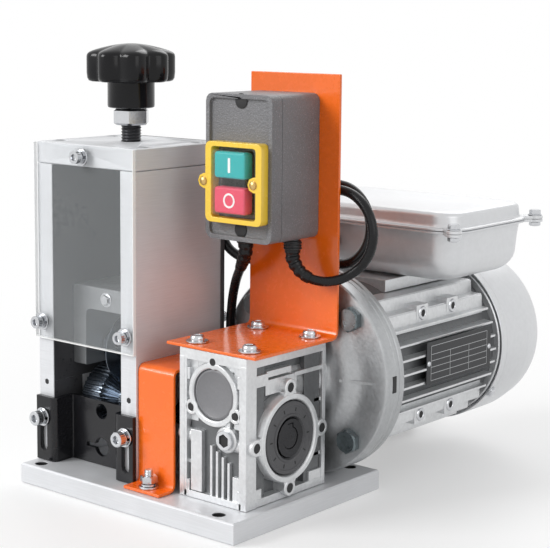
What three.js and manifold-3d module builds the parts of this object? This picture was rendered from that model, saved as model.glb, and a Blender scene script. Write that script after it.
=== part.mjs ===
// Electric wire stripping machine.
// Millimetres, +Z up, +X to the right of the operator, +Y away from the operator.
// The origin is the centre of the base plate's underside.

import * as THREE from 'three';
import { mergeVertices } from 'three/addons/utils/BufferGeometryUtils.js';
import Module from 'manifold-3d';

const wasm = await Module();
wasm.setup();

// Clearances and cutters

const gap = 0.3; // between neighbours that touch or rest on each other
const running = 0.5; // radial clearance of shafts in bores
const overrun = 2; // how far a cutter passes the face it opens
const weld = 1e-4; // vertices closer than this are one

// Facets of round pieces

const finest = 28;
const fine = 24;
const medium = 16;
const narrow = 12;
const coarse = 8;
const hexagon = 6;
const bendSteps = 3;

// Driving sizes

const base = {
  width: 151, thickness: 14, chamfer: 1, rightMargin: 5.3,
  holeRadius: 4.5, holeInsetLeft: 12, holeInsetRight: 19, holeInsetY: 8,
};

const feedInset = 61.5; // feed axis behind the base plate's front edge

const head = {
  width: 93.4, frontReach: 43.2, backReach: 39.3,
  sideThickness: 14, sideHeight: 206, topThickness: 14.6, chamfer: 0.6,
  screwInset: 16, spareHoleHeight: 55, spareHoleRadius: 2.1, spareHoleDepth: 12,
};

const guard = { overhang: 0.8, thickness: 3, bottom: 86, screwHeight: 98 };

const guide = {
  sheet: 3.2, bend: 3, wingInset: 0.8, bottom: gap, height: 45, plateReach: 28.1,
  slotWidth: 6.7, slotBottom: 6.5, slotTop: 34.5, screwHeight: 31,
  smallHoleRadius: 5.3, smallHoleHeight: 38, largeHoleRadius: 6.5, largeHoleHeight: 13,
  slitWidth: 3, slitLength: 15,
};

const shaft = { radius: 7, height: 40, bearingRadius: 16, bearingWidth: 9, pocket: 9.3 };
const key = { width: 5, rise: 2, length: 28 };

const roller = {
  radius: 24.5, endClearance: 6.7, rimHalfGap: 9.5, grooveRadius: 11, grooveHalfWidth: 3,
  teeth: 20, toothDepth: 1.3,
};

const blade = {
  height: 77.5, radius: 25.5, edge: 0.4, thickness: 4.4,
  hubRadius: 9.5, axleRadius: 6,
};

const carriage = {
  slide: 0.5, depth: 49, top: 44.5, arch: 29, archCorner: 5, bottom: 11, legThickness: 12,
  screwPocket: 10,
};

const screwRod = { radius: 7, insideKnob: 24 };
const jamNut = { acrossCorners: 25, bottom: 232.2, height: 11 };

const knob = {
  bottom: 243.8, hubRadius: 16, hubHeight: 17.6, lobes: 8, radius: 30, waist: 24.6,
  height: 25.7, crown: 7.5, crownShare: 0.55, crownFlat: 8, chamfer: 2.5, turn: 5,
};

const cover = {
  sheet: 2, width: 31.7, bend: 4.5, front: 40.7, back: 40, height: 80, foot: 15, footRise: 1.3,
};

const gearbox = {
  depth: 80, height: 97, bodyWidth: 56, hubWidth: 63, centreDistance: 30,
  footHeight: 12, capHeight: 8, ribReach: 6,
  hubRadius: 29, lugRadius: 6.5, lugCircle: 32.5, lugLength: 14, lugHole: 3, lugHoleDepth: 9,
  wormBoss: 22, wormLugCircle: 20.5, wormLugRadius: 6, wormLugHole: 2, wormBore: 16.3,
  outputBore: 23.8, chamberRadius: 27, chamberHalfWidth: 14,
  screwSpacingX: 44, screwSpacingY: 60,
};

const outputTube = { outer: 12.5, bore: 7.4, inset: 0.4, keywayDepth: 9.6 };
const toothForm = { addendum: 1.2, dedendum: 1.6, widthShare: 0.34, tipShare: 0.4, rootShare: 0.75 };
const wheel = { teeth: 30, pitchRadius: 21.5, face: 14 };
const worm = {
  halfLength: 11, turnSides: 9, turnSteps: 6,
  frontJournal: 6, rearJournal: 9, bore: 5.85, bearingWidth: 9, rearEnd: 16,
};

const inputFlange = {
  neckRadius: 26.5, faceRadius: 38, coneRadius: 48, radius: 69.6,
  rim: 10, cone: 10, seatDepth: 4, bore: 21,
};
const flangeBolt = { circle: 57.5, count: 4, shank: 4 };
const oilPlug = { radius: 6.5, thickness: 1.5, socket: 3.9, floor: 0.5, x: 11, z: 43, boss: 2 };
const shield = { rim: 9.9, spigot: 10, bearingSeat: 17.8, shaftHole: 10 };

const motor = {
  bore: 49, fit: 0.7, wall: 5, finRadius: 61, finPitch: 9.4, finThickness: 2, finRows: 5, length: 133,
  flatTop: 57.5, seatWidth: 60, seatFirst: 36, plateFlat: 60,
  padHeight: 35.5, padFace: 49, padDepth: 14, padRise: 12, padWidth: 14, padFirst: 50, padSpacing: 37,
};

const stator = { inner: 28.8, coreLength: 62, windingOuter: 45, windingLength: 18, start: 22 };
const rotor = { radius: 28, length: 62, shaft: 8.4, tip: 5.5, tail: 6, tailLength: 36 };
const rearShield = { thickness: 8, spigot: 10, screwHole: 6 };
const fan = { hub: 11, radius: 46, blades: 6, bladeThickness: 2, bladeWidth: 15, disc: 2.5, offset: 9 };
const fanCover = {
  radius: 62, wall: 1.6, length: 59, shoulder: 37, backRadius: 53, taperRadius: 59.5, backRound: 5,
  slots: 6, slotWidth: 8, slotInner: 16, slotOuter: 46,
};

const junction = {
  width: 153.6, depth: 98, bottom: motor.flatTop, lip: 94.5, corner: 17, bottomRound: 16, roundShare: 0.3,
  wall: 1.6, front: 40.5, lipWidth: 4, lipThickness: 2,
};
const lid = { height: 12.7, round: 3.5, roundShare: 0.33, earRadius: 5.5, earOffset: 3.5 };

const capacitor = { radius: 17, length: 84 };
const nameplate = { length: 81, height: 29, thickness: 0.8, first: 37.5, rise: 3.5 };

const bracket = {
  sheet: 2, bend: 5, leftReach: 39.2, rightReach: 35.3, height: 269.5, behindGearbox: 1.5, frontLip: 0.5,
};

const box = {
  width: 55.5, height: 94, leftOfGearbox: 8.5, centreHeight: 210, depth: 48, coverDepth: 10, wall: 2.5,
  corner: 5, rim: 3, recess: 2, screwInset: 5.9, screwOffset: 1.6,
};
const bezel = {
  width: 47.3, height: 52, rise: 8, offset: 0.9, centreDrop: 9.2, corner: 4, openWidth: 37, openHeight: 45.5,
  leftLug: -24, rightLug: 17.8, lugRadius: 5, lugDepth: 3, lugReach: 2,
};
const button = {
  width: 26, offset: -1.8, height: 17, spacing: 22.5, rise: 8.5, corner: 2, chamfer: 1,
  travel: 3, stem: 6, stemLength: 12,
};
const boot = { wall: 0.8, clearance: 0.5, flange: 1.2, brim: 1 };
const contactBlock = { width: 30, height: 42 };

// Screws: head radius and height, socket, washer stack and shank

const m6 = { head: 5, headHeight: 6, socket: 2.5, socketDepth: 3, shank: 3, length: 20 };
const m5 = { shank: 2.5, length: 14 };
const m4 = { head: 3.8, shank: 2 };
const washer6 = { radius: 6.4, thickness: 1.6 };
const counterbore = { radius: 5.5, depth: 7 };

// Cords: a 6.5 mm lead to the motor and one to the mains

const cord = { radius: 3.25, sides: 8, loopSides: 6, loopSteps: 20 };
const grommet = {
  radius: 5.8, length: 5.7, neck: 4.6, neckLength: 5, x: 20, y: -17, strip: 2, stripWidth: 9,
};
const gland = { radius: 7, nutLength: 8, length: 16, neck: 4.6, x: -23, z: 80 };
const leadLoops = {
  x: 94, z: 181.5, y: 32.2, advance: 10, outer: 26, inner: 25, from: 47, to: 540, drift: -12, rise: 4,
};
const coil = { x: 14, y: 134, radius: 48.5, turns: 6, climbTurns: 0.5, pitch: 7.1, lift: 0.15, tail: 38 };
const plug = {
  width: 25, thickness: 20.4, length: 36, corner: 4, neckRadius: 5, neckLength: 12,
  bladeWidth: 6.4, bladeThickness: 1.6, bladeLength: 16, bladeSpacing: 12.7, pinRadius: 2.4, pinDrop: 5,
};

// Free routes of the two cords, between a gland and the loops or the coil
const leadStart = [
  [71.7, 10.5, 170.7], [71.7, 10.5, 166.4], [72.7, 10.9, 162.4], [77, 12.9, 155.7], [83.5, 16.1, 151.6],
  [90.9, 20.1, 150.3], [98, 24.6, 151.6], [104.2, 29.1, 155.2], [110.1, 31.9, 160.6],
];
const leadEnd = [
  [66.2, 46.1, 210.6], [50.3, 45.7, 210.4], [34.5, 44.5, 209.2], [19.2, 42.4, 206], [5.4, 39.4, 199.7],
  [-5.1, 36, 189.4], [-9.2, 33.3, 176], [-4.8, 33, 162.9], [6.3, 36.4, 155.1], [19.1, 43.3, 154.3],
  [29.6, 53.4, 158.1], [35.9, 66.2, 162.7], [37.2, 73.8, 164], [37.2, 81, 164],
];
const mainsRoute = [
  [31.7, 10.5, 170.7], [31.5, 10.8, 165], [27, 13, 157], [18, 20, 149], [10, 26, 141], [3.5, 30, 128],
  [0.5, 31.5, 112], [0, 31.3, 95], [-0.8, 30.8, 76], [-1, 31, 58], [0, 35, 40], [4, 44, 27], [10, 56, 19.5],
  [14, 70, 18], [14, 84, 15], [14, 98, 8], [14, 112, 4], [14, 120, 3.4], [14, 127.2, 3.4],
];

// Colours

const steel = { color: 0xc9cacc, roughness: 0.38, metalness: 0.85 };
const brightSteel = { color: 0xdcdde0, roughness: 0.25, metalness: 0.9 };
const castAluminium = { color: 0xc4c6c8, roughness: 0.45, metalness: 0.75 };
const darkSteel = { color: 0x3a3a3d, roughness: 0.45, metalness: 0.7 };
const blackSteel = { color: 0x17171a, roughness: 0.35, metalness: 0.5 };
const orange = { color: 0xeb5a12, roughness: 0.3, metalness: 0 };
const greyPlastic = { color: 0x5c5c62, roughness: 0.6, metalness: 0 };
const blackPlastic = { color: 0x101012, roughness: 0.3, metalness: 0 };
const bronze = { color: 0xb98b45, roughness: 0.4, metalness: 0.8 };

// Places that several pieces share

const baseTop = base.thickness;
const feedY = feedInset - base.width / 2;
const baseLength = head.width + cover.width + gearbox.hubWidth + 2 * gap + base.rightMargin;
const headX = (head.width - baseLength) / 2;
const gearX = baseLength / 2 - base.rightMargin - gearbox.hubWidth / 2;
const headInner = head.width / 2 - head.sideThickness;
const plateX = (head.width - head.sideThickness) / 2;
const guardWidth = head.width + 2 * guard.overhang;
const carriageWidth = 2 * (headInner - carriage.slide);
const rollerHalfLength = headInner - roller.endClearance;
const topHeight = head.sideHeight + head.topThickness;
const wormHeight = shaft.height + gearbox.centreDistance;
const flangeY = gearbox.depth / 2 + gap;
const shieldY = flangeY + inputFlange.cone + inputFlange.rim + gap;
const housingY = shieldY + shield.rim + gap;
const rearY = housingY + motor.length + gap;
const junctionY = housingY + junction.front + junction.depth / 2;
const uprightY = feedY + gearbox.depth / 2 + bracket.behindGearbox;
const boxX = gearX - box.leftOfGearbox;
const buttonHeight = box.centreHeight - bezel.centreDrop;
const threadLead = 2 * Math.PI * wheel.pitchRadius / wheel.teeth;
const wormPitch = gearbox.centreDistance - wheel.pitchRadius;

// Geometry helpers: every function takes and returns a closed BufferGeometry

function bareTriangles(geometry) {
  const bare = new THREE.BufferGeometry();
  bare.setAttribute('position', geometry.getAttribute('position').clone());
  if (geometry.index) bare.setIndex(geometry.index.clone());
  const merged = mergeVertices(bare, weld);
  const kept = [];
  const index = merged.index.array;
  for (let i = 0; i < index.length; i += 3) {
    const [a, b, c] = [index[i], index[i + 1], index[i + 2]];
    if (a !== b && b !== c && c !== a) kept.push(a, b, c);
  }
  merged.setIndex(kept);
  return merged;
}

function signedVolume(geometry) {
  const position = geometry.getAttribute('position');
  const corner = [0, 1, 2].map(() => new THREE.Vector3());
  const index = geometry.index.array;
  let volume = 0;
  for (let i = 0; i < index.length; i += 3) {
    corner.forEach((point, k) => point.fromBufferAttribute(position, index[i + k]));
    volume += corner[0].dot(corner[1].clone().cross(corner[2])) / 6;
  }
  return volume;
}

function outward(geometry) {
  const closed = bareTriangles(geometry);
  if (signedVolume(closed) > 0) return closed;
  const index = closed.index.array;
  const flipped = [];
  for (let i = 0; i < index.length; i += 3) flipped.push(index[i], index[i + 2], index[i + 1]);
  closed.setIndex(flipped);
  return closed;
}

function toSolid(geometry) {
  const closed = outward(geometry);
  return new wasm.Manifold(new wasm.Mesh({
    numProp: 3,
    vertProperties: Float32Array.from(closed.getAttribute('position').array),
    triVerts: Uint32Array.from(closed.index.array),
  }));
}

function toGeometry(solid) {
  const result = solid.getMesh();
  const geometry = new THREE.BufferGeometry();
  geometry.setAttribute('position', new THREE.BufferAttribute(Float32Array.from(result.vertProperties), 3));
  geometry.setIndex(new THREE.BufferAttribute(Uint32Array.from(result.triVerts), 1));
  return geometry;
}

function join(...parts) {
  return toGeometry(parts.map(toSolid).reduce((whole, part) => whole.add(part)));
}

function cut(body, ...tools) {
  return toGeometry(tools.map(toSolid).reduce((rest, tool) => rest.subtract(tool), toSolid(body)));
}

function common(first, second) {
  return toGeometry(toSolid(first).intersect(toSolid(second)));
}

function moved(geometry, x, y, z) {
  return geometry.clone().translate(x, y, z);
}

// Turns what was built along +Z so that it points along an axis, such as '+x' or '-y'
function aimed(geometry, direction) {
  const turned = geometry.clone();
  if (direction === '+x') turned.rotateY(Math.PI / 2);
  if (direction === '-x') turned.rotateY(-Math.PI / 2);
  if (direction === '+y') turned.rotateX(-Math.PI / 2);
  if (direction === '-y') turned.rotateX(Math.PI / 2);
  if (direction === '-z') turned.rotateX(Math.PI);
  return turned;
}

function ordered(first, second) {
  return [Math.min(first, second), Math.max(first, second)];
}

function block([x0, x1], [y0, y1], [z0, z1]) {
  const geometry = new THREE.BoxGeometry(x1 - x0, y1 - y0, z1 - z0);
  return geometry.translate((x0 + x1) / 2, (y0 + y1) / 2, (z0 + z1) / 2);
}

// A round bar along +Z from one height to another
function rod(radius, [from, to], sides = coarse) {
  const geometry = new THREE.CylinderGeometry(radius, radius, to - from, sides);
  return geometry.rotateX(Math.PI / 2).translate(0, 0, (from + to) / 2);
}

function rodX(radius, [from, to], y, z, sides = hexagon) {
  return moved(aimed(rod(radius, [from, to], sides), '+x'), 0, y, z);
}

function rodY(radius, x, [from, to], z, sides = hexagon) {
  return moved(aimed(rod(radius, [from, to], sides), '+y'), x, 0, z);
}

function rodZ(radius, x, y, [from, to], sides = hexagon) {
  return moved(rod(radius, [from, to], sides), x, y, 0);
}

// A turned piece: outline points are [radius, height] along +Z, and close on themselves
function turned(outline, sides = fine) {
  const points = [...outline, outline[0]].map(([radius, height]) => new THREE.Vector2(radius, height));
  return new THREE.LatheGeometry(points, sides).rotateX(Math.PI / 2);
}

function ring(inner, outer, [from, to], sides = narrow) {
  return turned([[inner, from], [outer, from], [outer, to], [inner, to]], sides);
}

function roundedShape(width, height, radius, steps = 3) {
  const shape = new THREE.Shape();
  const x = width / 2 - radius;
  const y = height / 2 - radius;
  const corners = [[x, y, 0], [-x, y, 1], [-x, -y, 2], [x, -y, 3]];
  corners.forEach(([cx, cy, quarter]) => {
    for (let i = 0; i <= steps; i += 1) {
      const angle = (quarter + i / steps) * Math.PI / 2;
      const point = [cx + radius * Math.cos(angle), cy + radius * Math.sin(angle)];
      if (shape.curves.length === 0 && quarter === 0 && i === 0) shape.moveTo(...point);
      else shape.lineTo(...point);
    }
  });
  shape.closePath();
  return shape;
}

function extruded(shape, depth, bevel = 0) {
  return new THREE.ExtrudeGeometry(shape, {
    depth: depth - 2 * bevel, steps: 1, curveSegments: coarse,
    bevelEnabled: bevel > 0, bevelThickness: bevel, bevelSize: bevel, bevelOffset: -bevel, bevelSegments: 1,
  }).translate(0, 0, bevel);
}

// A flat slab centred in X and Y, standing on z = 0, with chamfered edges
function slab(width, depth, height, chamfer) {
  const shape = new THREE.Shape();
  shape.moveTo(-width / 2, -depth / 2);
  shape.lineTo(width / 2, -depth / 2);
  shape.lineTo(width / 2, depth / 2);
  shape.lineTo(-width / 2, depth / 2);
  shape.closePath();
  return extruded(shape, height, chamfer);
}

// Bent sheet metal: the outline of a sheet of even thickness along a bent middle line
function bentSheet(path, thickness, bend, width) {
  const middle = [];
  path.forEach(([x, y], i) => {
    if (i === 0 || i === path.length - 1) {
      middle.push(new THREE.Vector2(x, y));
      return;
    }
    const corner = new THREE.Vector2(x, y);
    const before = new THREE.Vector2(...path[i - 1]).sub(corner).normalize();
    const after = new THREE.Vector2(...path[i + 1]).sub(corner).normalize();
    const start = corner.clone().addScaledVector(before, bend);
    const end = corner.clone().addScaledVector(after, bend);
    const arc = new THREE.QuadraticBezierCurve(start, corner, end);
    arc.getPoints(bendSteps).forEach((point) => middle.push(point));
  });
  const side = (sign) => middle.map((point, i) => {
    const from = middle[Math.max(i - 1, 0)];
    const to = middle[Math.min(i + 1, middle.length - 1)];
    const along = to.clone().sub(from).normalize();
    const normal = new THREE.Vector2(-along.y, along.x);
    return point.clone().addScaledVector(normal, sign * thickness / 2);
  });
  const shape = new THREE.Shape([...side(1), ...side(-1).reverse()]);
  return extruded(shape, width);
}

// Joins rings of points, listed from one end to the other, into a closed body
function lofted(rings) {
  const count = rings[0].length;
  const points = rings.flat();
  const index = [];
  for (let level = 0; level < rings.length - 1; level += 1) {
    for (let i = 0; i < count; i += 1) {
      const a = level * count + i;
      const b = level * count + (i + 1) % count;
      index.push(a, b, b + count, a, b + count, a + count);
    }
  }
  const middleOf = (level) => {
    const centre = new THREE.Vector3();
    rings[level].forEach((point) => centre.add(new THREE.Vector3(...point)));
    return centre.divideScalar(count).toArray();
  };
  const first = points.push(middleOf(0)) - 1;
  const last = points.push(middleOf(rings.length - 1)) - 1;
  const top = (rings.length - 1) * count;
  for (let i = 0; i < count; i += 1) {
    index.push(first, (i + 1) % count, i, last, top + i, top + (i + 1) % count);
  }
  const geometry = new THREE.BufferGeometry();
  geometry.setAttribute('position', new THREE.Float32BufferAttribute(points.flat(), 3));
  geometry.setIndex(index);
  return geometry;
}

// A ring of a rounded rectangle at one height, for lofted
function roundedRing(width, depth, radius, z, steps = 3) {
  const outline = roundedShape(width, depth, radius, steps).getPoints().slice(0, 4 * (steps + 1));
  return outline.map((point) => [point.x, point.y, z]);
}

// Screws stand head up on z = 0, with the shank below

function socketScrew({ head: radius, headHeight, socket, socketDepth, shank, length }, stack = 0) {
  const body = join(
    rod(radius, [stack, stack + headHeight]),
    rod(shank, [-length, stack + weld], hexagon),
  );
  return cut(body, rod(socket, [stack + headHeight - socketDepth, stack + headHeight + overrun], hexagon));
}

function washedScrew(screw, washer) {
  return join(socketScrew(screw, washer.thickness), rod(washer.radius, [0, washer.thickness]));
}

// Scene graph

const machine = new THREE.Group();

function group(parent, x, y, z) {
  const child = new THREE.Group();
  child.position.set(x, y, z);
  parent.add(child);
  return child;
}

function add(parent, name, geometry, look) {
  const mesh = new THREE.Mesh(outward(geometry), new THREE.MeshStandardMaterial(look));
  mesh.name = name;
  parent.add(mesh);
  return mesh;
}

const headGroup = group(machine, headX, feedY, baseTop);
const carriageGroup = group(headGroup, 0, 0, blade.height);
const driveGroup = group(machine, 0, feedY, baseTop + shaft.height);
const gearGroup = group(machine, gearX, feedY, baseTop);
const motorGroup = group(machine, gearX, feedY, baseTop + wormHeight);
const switchGroup = group(machine, boxX, uprightY, baseTop);

// Places of the fasteners

const headScrewYs = [-head.frontReach + head.screwInset, head.backReach - head.screwInset];
const headScrewPlaces = [-plateX, plateX].flatMap((x) => headScrewYs.map((y) => [x, y]));
const gearScrewPlaces = [-1, 1].flatMap((sx) => [-1, 1].map((sy) => [
  sx * gearbox.screwSpacingX / 2, sy * gearbox.screwSpacingY / 2,
]));

const coverX = headX + head.width / 2 + gap + cover.width / 2;
const coverBoltYs = [-cover.front - cover.foot / 2, cover.back + cover.foot / 2];

// Base plate

function basePlate() {
  const holeXs = [base.holeInsetLeft - baseLength / 2, baseLength / 2 - base.holeInsetRight];
  const holeYs = [base.holeInsetY - base.width / 2, base.width / 2 - base.holeInsetY];
  const through = [-overrun, base.thickness + overrun];
  const mounting = holeXs.flatMap((x) => holeYs.map((y) => rodZ(base.holeRadius, x, y, through, narrow)));
  const screwAxes = [
    ...headScrewPlaces.map(([x, y]) => [headX + x, feedY + y]),
    ...gearScrewPlaces.map(([x, y]) => [gearX + x, feedY + y]),
  ];
  const screws = screwAxes.flatMap(([x, y]) => [
    rodZ(m6.shank + gap, x, y, through),
    rodZ(counterbore.radius, x, y, [-overrun, counterbore.depth], coarse),
  ]);
  const tapped = coverBoltYs.map((y) => rodZ(m6.shank + gap, coverX, feedY + y, through));
  return cut(slab(baseLength, base.width, base.thickness, base.chamfer), ...mounting, ...screws, ...tapped);
}

add(machine, 'base_plate', basePlate(), steel);

// Head frame

function headHole(radius, x, z, depth, front) {
  const face = front ? -head.frontReach : head.backReach;
  const span = front ? [face - overrun, face + depth] : [face - depth, face + overrun];
  return rodY(radius, x, span, z);
}

function sidePlate(side) {
  const x = side * plateX;
  const plate = block(
    [x - head.sideThickness / 2, x + head.sideThickness / 2],
    [-head.frontReach, head.backReach],
    [gap, head.sideHeight],
  );
  const inner = side * headInner;
  const pocketEnd = inner + side * shaft.pocket;
  const shaftEnd = side > 0 ? inner + side * (head.sideThickness + overrun) : pocketEnd;
  const ends = headScrewPlaces.filter(([px]) => px * side > 0);
  const bottomSpan = [-overrun, m6.length - base.thickness + counterbore.depth + gap];
  const topSpan = [head.sideHeight - m6.length, head.sideHeight + overrun];
  return cut(
    plate,
    rodX(shaft.bearingRadius + gap, ordered(inner - side * overrun, pocketEnd), 0, shaft.height, fine),
    rodX(shaft.radius + gap + running, ordered(inner - side * overrun, shaftEnd), 0, shaft.height, medium),
    headHole(m6.shank + gap, x, guide.screwHeight, m6.length + gap, true),
    headHole(head.spareHoleRadius, x, head.spareHoleHeight, head.spareHoleDepth, true),
    headHole(m5.shank + gap, x, guard.screwHeight, m5.length, true),
    headHole(m5.shank + gap, x, guard.screwHeight, m5.length, false),
    ...ends.flatMap(([px, y]) => [bottomSpan, topSpan].map((span) => rodZ(m6.shank + gap, px, y, span))),
  );
}

function topPlate() {
  const depth = head.frontReach + head.backReach;
  const plate = moved(
    slab(head.width, depth, head.topThickness, head.chamfer),
    0, (head.backReach - head.frontReach) / 2, head.sideHeight + gap,
  );
  const through = [head.sideHeight - overrun, topHeight + overrun];
  const middle = head.sideHeight + head.topThickness / 2;
  return cut(
    plate,
    rodZ(screwRod.radius + running, 0, 0, through, medium),
    headHole(m5.shank + gap, 0, middle, m5.length, true),
    headHole(m5.shank + gap, 0, middle, m5.length, false),
    ...headScrewPlaces.map(([x, y]) => rodZ(m6.shank + gap, x, y, through)),
    ...headScrewPlaces.map(([x, y]) => rodZ(
      counterbore.radius, x, y, [topHeight + gap - counterbore.depth, topHeight + overrun], coarse,
    )),
  );
}

add(headGroup, 'left_side_plate', sidePlate(-1), steel);
add(headGroup, 'right_side_plate', sidePlate(1), steel);
add(headGroup, 'top_plate', topPlate(), brightSteel);

// Clear guards on the front and back of the head

const guardTopScrew = head.sideHeight + head.topThickness / 2;

function guardSheet(front) {
  const face = front ? -head.frontReach - gap : head.backReach + gap;
  const span = front ? [face - guard.thickness, face] : [face, face + guard.thickness];
  const sheet = block([-guardWidth / 2, guardWidth / 2], span, [guard.bottom, topHeight + gap]);
  const through = [span[0] - overrun, span[1] + overrun];
  return cut(
    sheet,
    rodY(m5.shank + gap, -plateX, through, guard.screwHeight),
    rodY(m5.shank + gap, plateX, through, guard.screwHeight),
    rodY(m5.shank + gap, 0, through, guardTopScrew),
  );
}

const clear = { color: 0xdfe8ec, roughness: 0.05, metalness: 0, transparent: true, opacity: 0.3 };
add(headGroup, 'front_guard', guardSheet(true), clear);
add(headGroup, 'rear_guard', guardSheet(false), blackSteel);

// Wire guide: a hat-shaped sheet whose slotted ears slide on two screws

const earY = -head.frontReach - gap - guide.sheet / 2;

function wireGuide() {
  const outer = head.width / 2;
  const wing = headInner - gap - guide.sheet / 2 - guide.wingInset;
  const path = [
    [-outer, earY], [-wing, earY], [-wing, -guide.plateReach],
    [wing, -guide.plateReach], [wing, earY], [outer, earY],
  ];
  const sheet = moved(bentSheet(path, guide.sheet, guide.bend, guide.height), 0, 0, guide.bottom);
  const span = [earY - guide.sheet, -guide.plateReach + guide.sheet];
  const earSpan = [earY - guide.sheet, earY + guide.sheet];
  const slots = [-plateX, plateX].map((x) => join(
    block([x - guide.slotWidth / 2, x + guide.slotWidth / 2], earSpan,
      [guide.slotBottom + guide.slotWidth / 2, guide.slotTop - guide.slotWidth / 2]),
    rodY(guide.slotWidth / 2, x, earSpan, guide.slotBottom + guide.slotWidth / 2),
    rodY(guide.slotWidth / 2, x, earSpan, guide.slotTop - guide.slotWidth / 2),
  ));
  const slit = block([-guide.slitLength, 0], span,
    [guide.largeHoleHeight - guide.slitWidth / 2, guide.largeHoleHeight + guide.slitWidth / 2]);
  return cut(
    sheet, ...slots, slit,
    rodY(guide.smallHoleRadius, 0, span, guide.smallHoleHeight, medium),
    rodY(guide.largeHoleRadius, 0, span, guide.largeHoleHeight, medium),
  );
}

const guideScrew = aimed(washedScrew(m6, washer6), '-y');
const guideFace = earY - guide.sheet / 2 - gap;
add(headGroup, 'wire_guide', wireGuide(), blackSteel);
for (const [side, name] of [[-1, 'left'], [1, 'right']]) {
  const place = group(headGroup, side * plateX, guideFace, guide.screwHeight);
  add(place, `${name}_guide_screw`, guideScrew, brightSteel);
}

// Drive shaft, its bearings in the side plates, and the toothed feed roller

function driveShaft() {
  const from = headX - headInner - shaft.bearingWidth + gap;
  const to = gearX + gearbox.hubWidth / 2 - 2 * outputTube.inset;
  const keyway = [to - key.length, to];
  return join(
    rodX(shaft.radius, [from, to], 0, 0, medium),
    block(keyway, [-key.width / 2, key.width / 2], [0, shaft.radius + key.rise]),
  );
}

function toothedRing(x, radius, depth) {
  const count = 2 * roller.teeth;
  return Array.from({ length: count }, (_, i) => {
    const reach = i % 2 ? radius - depth : radius;
    const angle = 2 * Math.PI * i / count;
    return [x, reach * Math.cos(angle), reach * Math.sin(angle)];
  });
}

function feedRoller() {
  const { radius, rimHalfGap, grooveRadius, grooveHalfWidth, toothDepth } = roller;
  const body = lofted([
    toothedRing(-rollerHalfLength, radius, toothDepth),
    toothedRing(-rimHalfGap, radius, toothDepth),
    toothedRing(-grooveHalfWidth, grooveRadius, 0),
    toothedRing(grooveHalfWidth, grooveRadius, 0),
    toothedRing(rimHalfGap, radius, toothDepth),
    toothedRing(rollerHalfLength, radius, toothDepth),
  ]);
  const end = rollerHalfLength + overrun;
  return cut(body, rodX(shaft.radius + gap, [-end, end], 0, 0, medium));
}

const driveBearing = aimed(ring(shaft.radius + running, shaft.bearingRadius, [0, shaft.bearingWidth]), '+x');
const leftBearingX = headX - headInner - shaft.bearingWidth;
add(group(driveGroup, leftBearingX, 0, 0), 'left_drive_bearing', driveBearing, brightSteel);
add(group(driveGroup, headX + headInner, 0, 0), 'right_drive_bearing', driveBearing, brightSteel);
add(driveGroup, 'drive_shaft', driveShaft(), steel);
add(group(driveGroup, headX, 0, 0), 'drive_roller', feedRoller(), darkSteel);

// Blade carriage: a yoke that slides between the side plates

const legInner = carriageWidth / 2 - carriage.legThickness;

function bladeCarriage() {
  const half = carriageWidth / 2;
  const arch = new THREE.Shape();
  const open = -carriage.bottom - overrun;
  arch.moveTo(-legInner, open);
  arch.lineTo(legInner, open);
  arch.lineTo(legInner, carriage.arch - carriage.archCorner);
  arch.quadraticCurveTo(legInner, carriage.arch, legInner - carriage.archCorner, carriage.arch);
  arch.lineTo(carriage.archCorner - legInner, carriage.arch);
  arch.quadraticCurveTo(-legInner, carriage.arch, -legInner, carriage.arch - carriage.archCorner);
  arch.closePath();
  const depth = carriage.depth + 2 * overrun;
  const opening = moved(new THREE.ExtrudeGeometry(arch, { depth, bevelEnabled: false, curveSegments: 3 })
    .rotateX(Math.PI / 2), 0, depth / 2, 0);
  const yoke = moved(slab(carriageWidth, carriage.depth, carriage.top + carriage.bottom, head.chamfer),
    0, 0, -carriage.bottom);
  return cut(
    yoke, opening,
    rodX(blade.axleRadius + gap, [-half - overrun, half + overrun], 0, 0, medium),
    rod(screwRod.radius + gap, [carriage.top - carriage.screwPocket, carriage.top + overrun], medium),
  );
}

function bladeWheel() {
  const { radius, edge, thickness, hubRadius, axleRadius } = blade;
  const hubLength = 2 * (legInner - running);
  const bore = axleRadius + running;
  const outline = [
    [bore, -hubLength / 2], [hubRadius, -hubLength / 2], [hubRadius, -thickness / 2], [radius, -edge / 2],
    [radius, edge / 2], [hubRadius, thickness / 2], [hubRadius, hubLength / 2], [bore, hubLength / 2],
  ];
  return aimed(turned(outline, fine), '+x');
}

add(carriageGroup, 'blade_carriage', bladeCarriage(), castAluminium);
const bladeAxle = rodX(blade.axleRadius, [-carriageWidth / 2, carriageWidth / 2], 0, 0, medium);
add(carriageGroup, 'blade_axle', bladeAxle, brightSteel);
add(carriageGroup, 'blade_wheel', bladeWheel(), steel);

// Adjusting screw with its star knob and jam nut

function starRing(z, reach, depth) {
  const perLobe = 4;
  const count = knob.lobes * perLobe;
  const swing = (knob.radius - knob.waist) / 2 * depth;
  return Array.from({ length: count }, (_, i) => {
    const angle = 2 * Math.PI * i / count;
    const radius = reach - swing + swing * Math.cos(knob.lobes * angle);
    return [radius * Math.cos(angle), radius * Math.sin(angle), z];
  });
}

function starKnob() {
  const { hubRadius, hubHeight, radius, height, crown, crownShare, crownFlat, chamfer } = knob;
  const star = lofted([
    starRing(hubHeight, radius - chamfer, 1),
    starRing(hubHeight + chamfer, radius, 1),
    starRing(hubHeight + height - crown, radius, 1),
    starRing(hubHeight + height - crown * crownShare, radius - crown * (1 - crownShare), 1),
    starRing(hubHeight + height, crownFlat, 0),
  ]);
  const body = join(star, rod(hubRadius, [0, hubHeight + chamfer], medium));
  return cut(body, rod(screwRod.radius + gap, [-overrun, screwRod.insideKnob + gap], medium));
}

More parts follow.
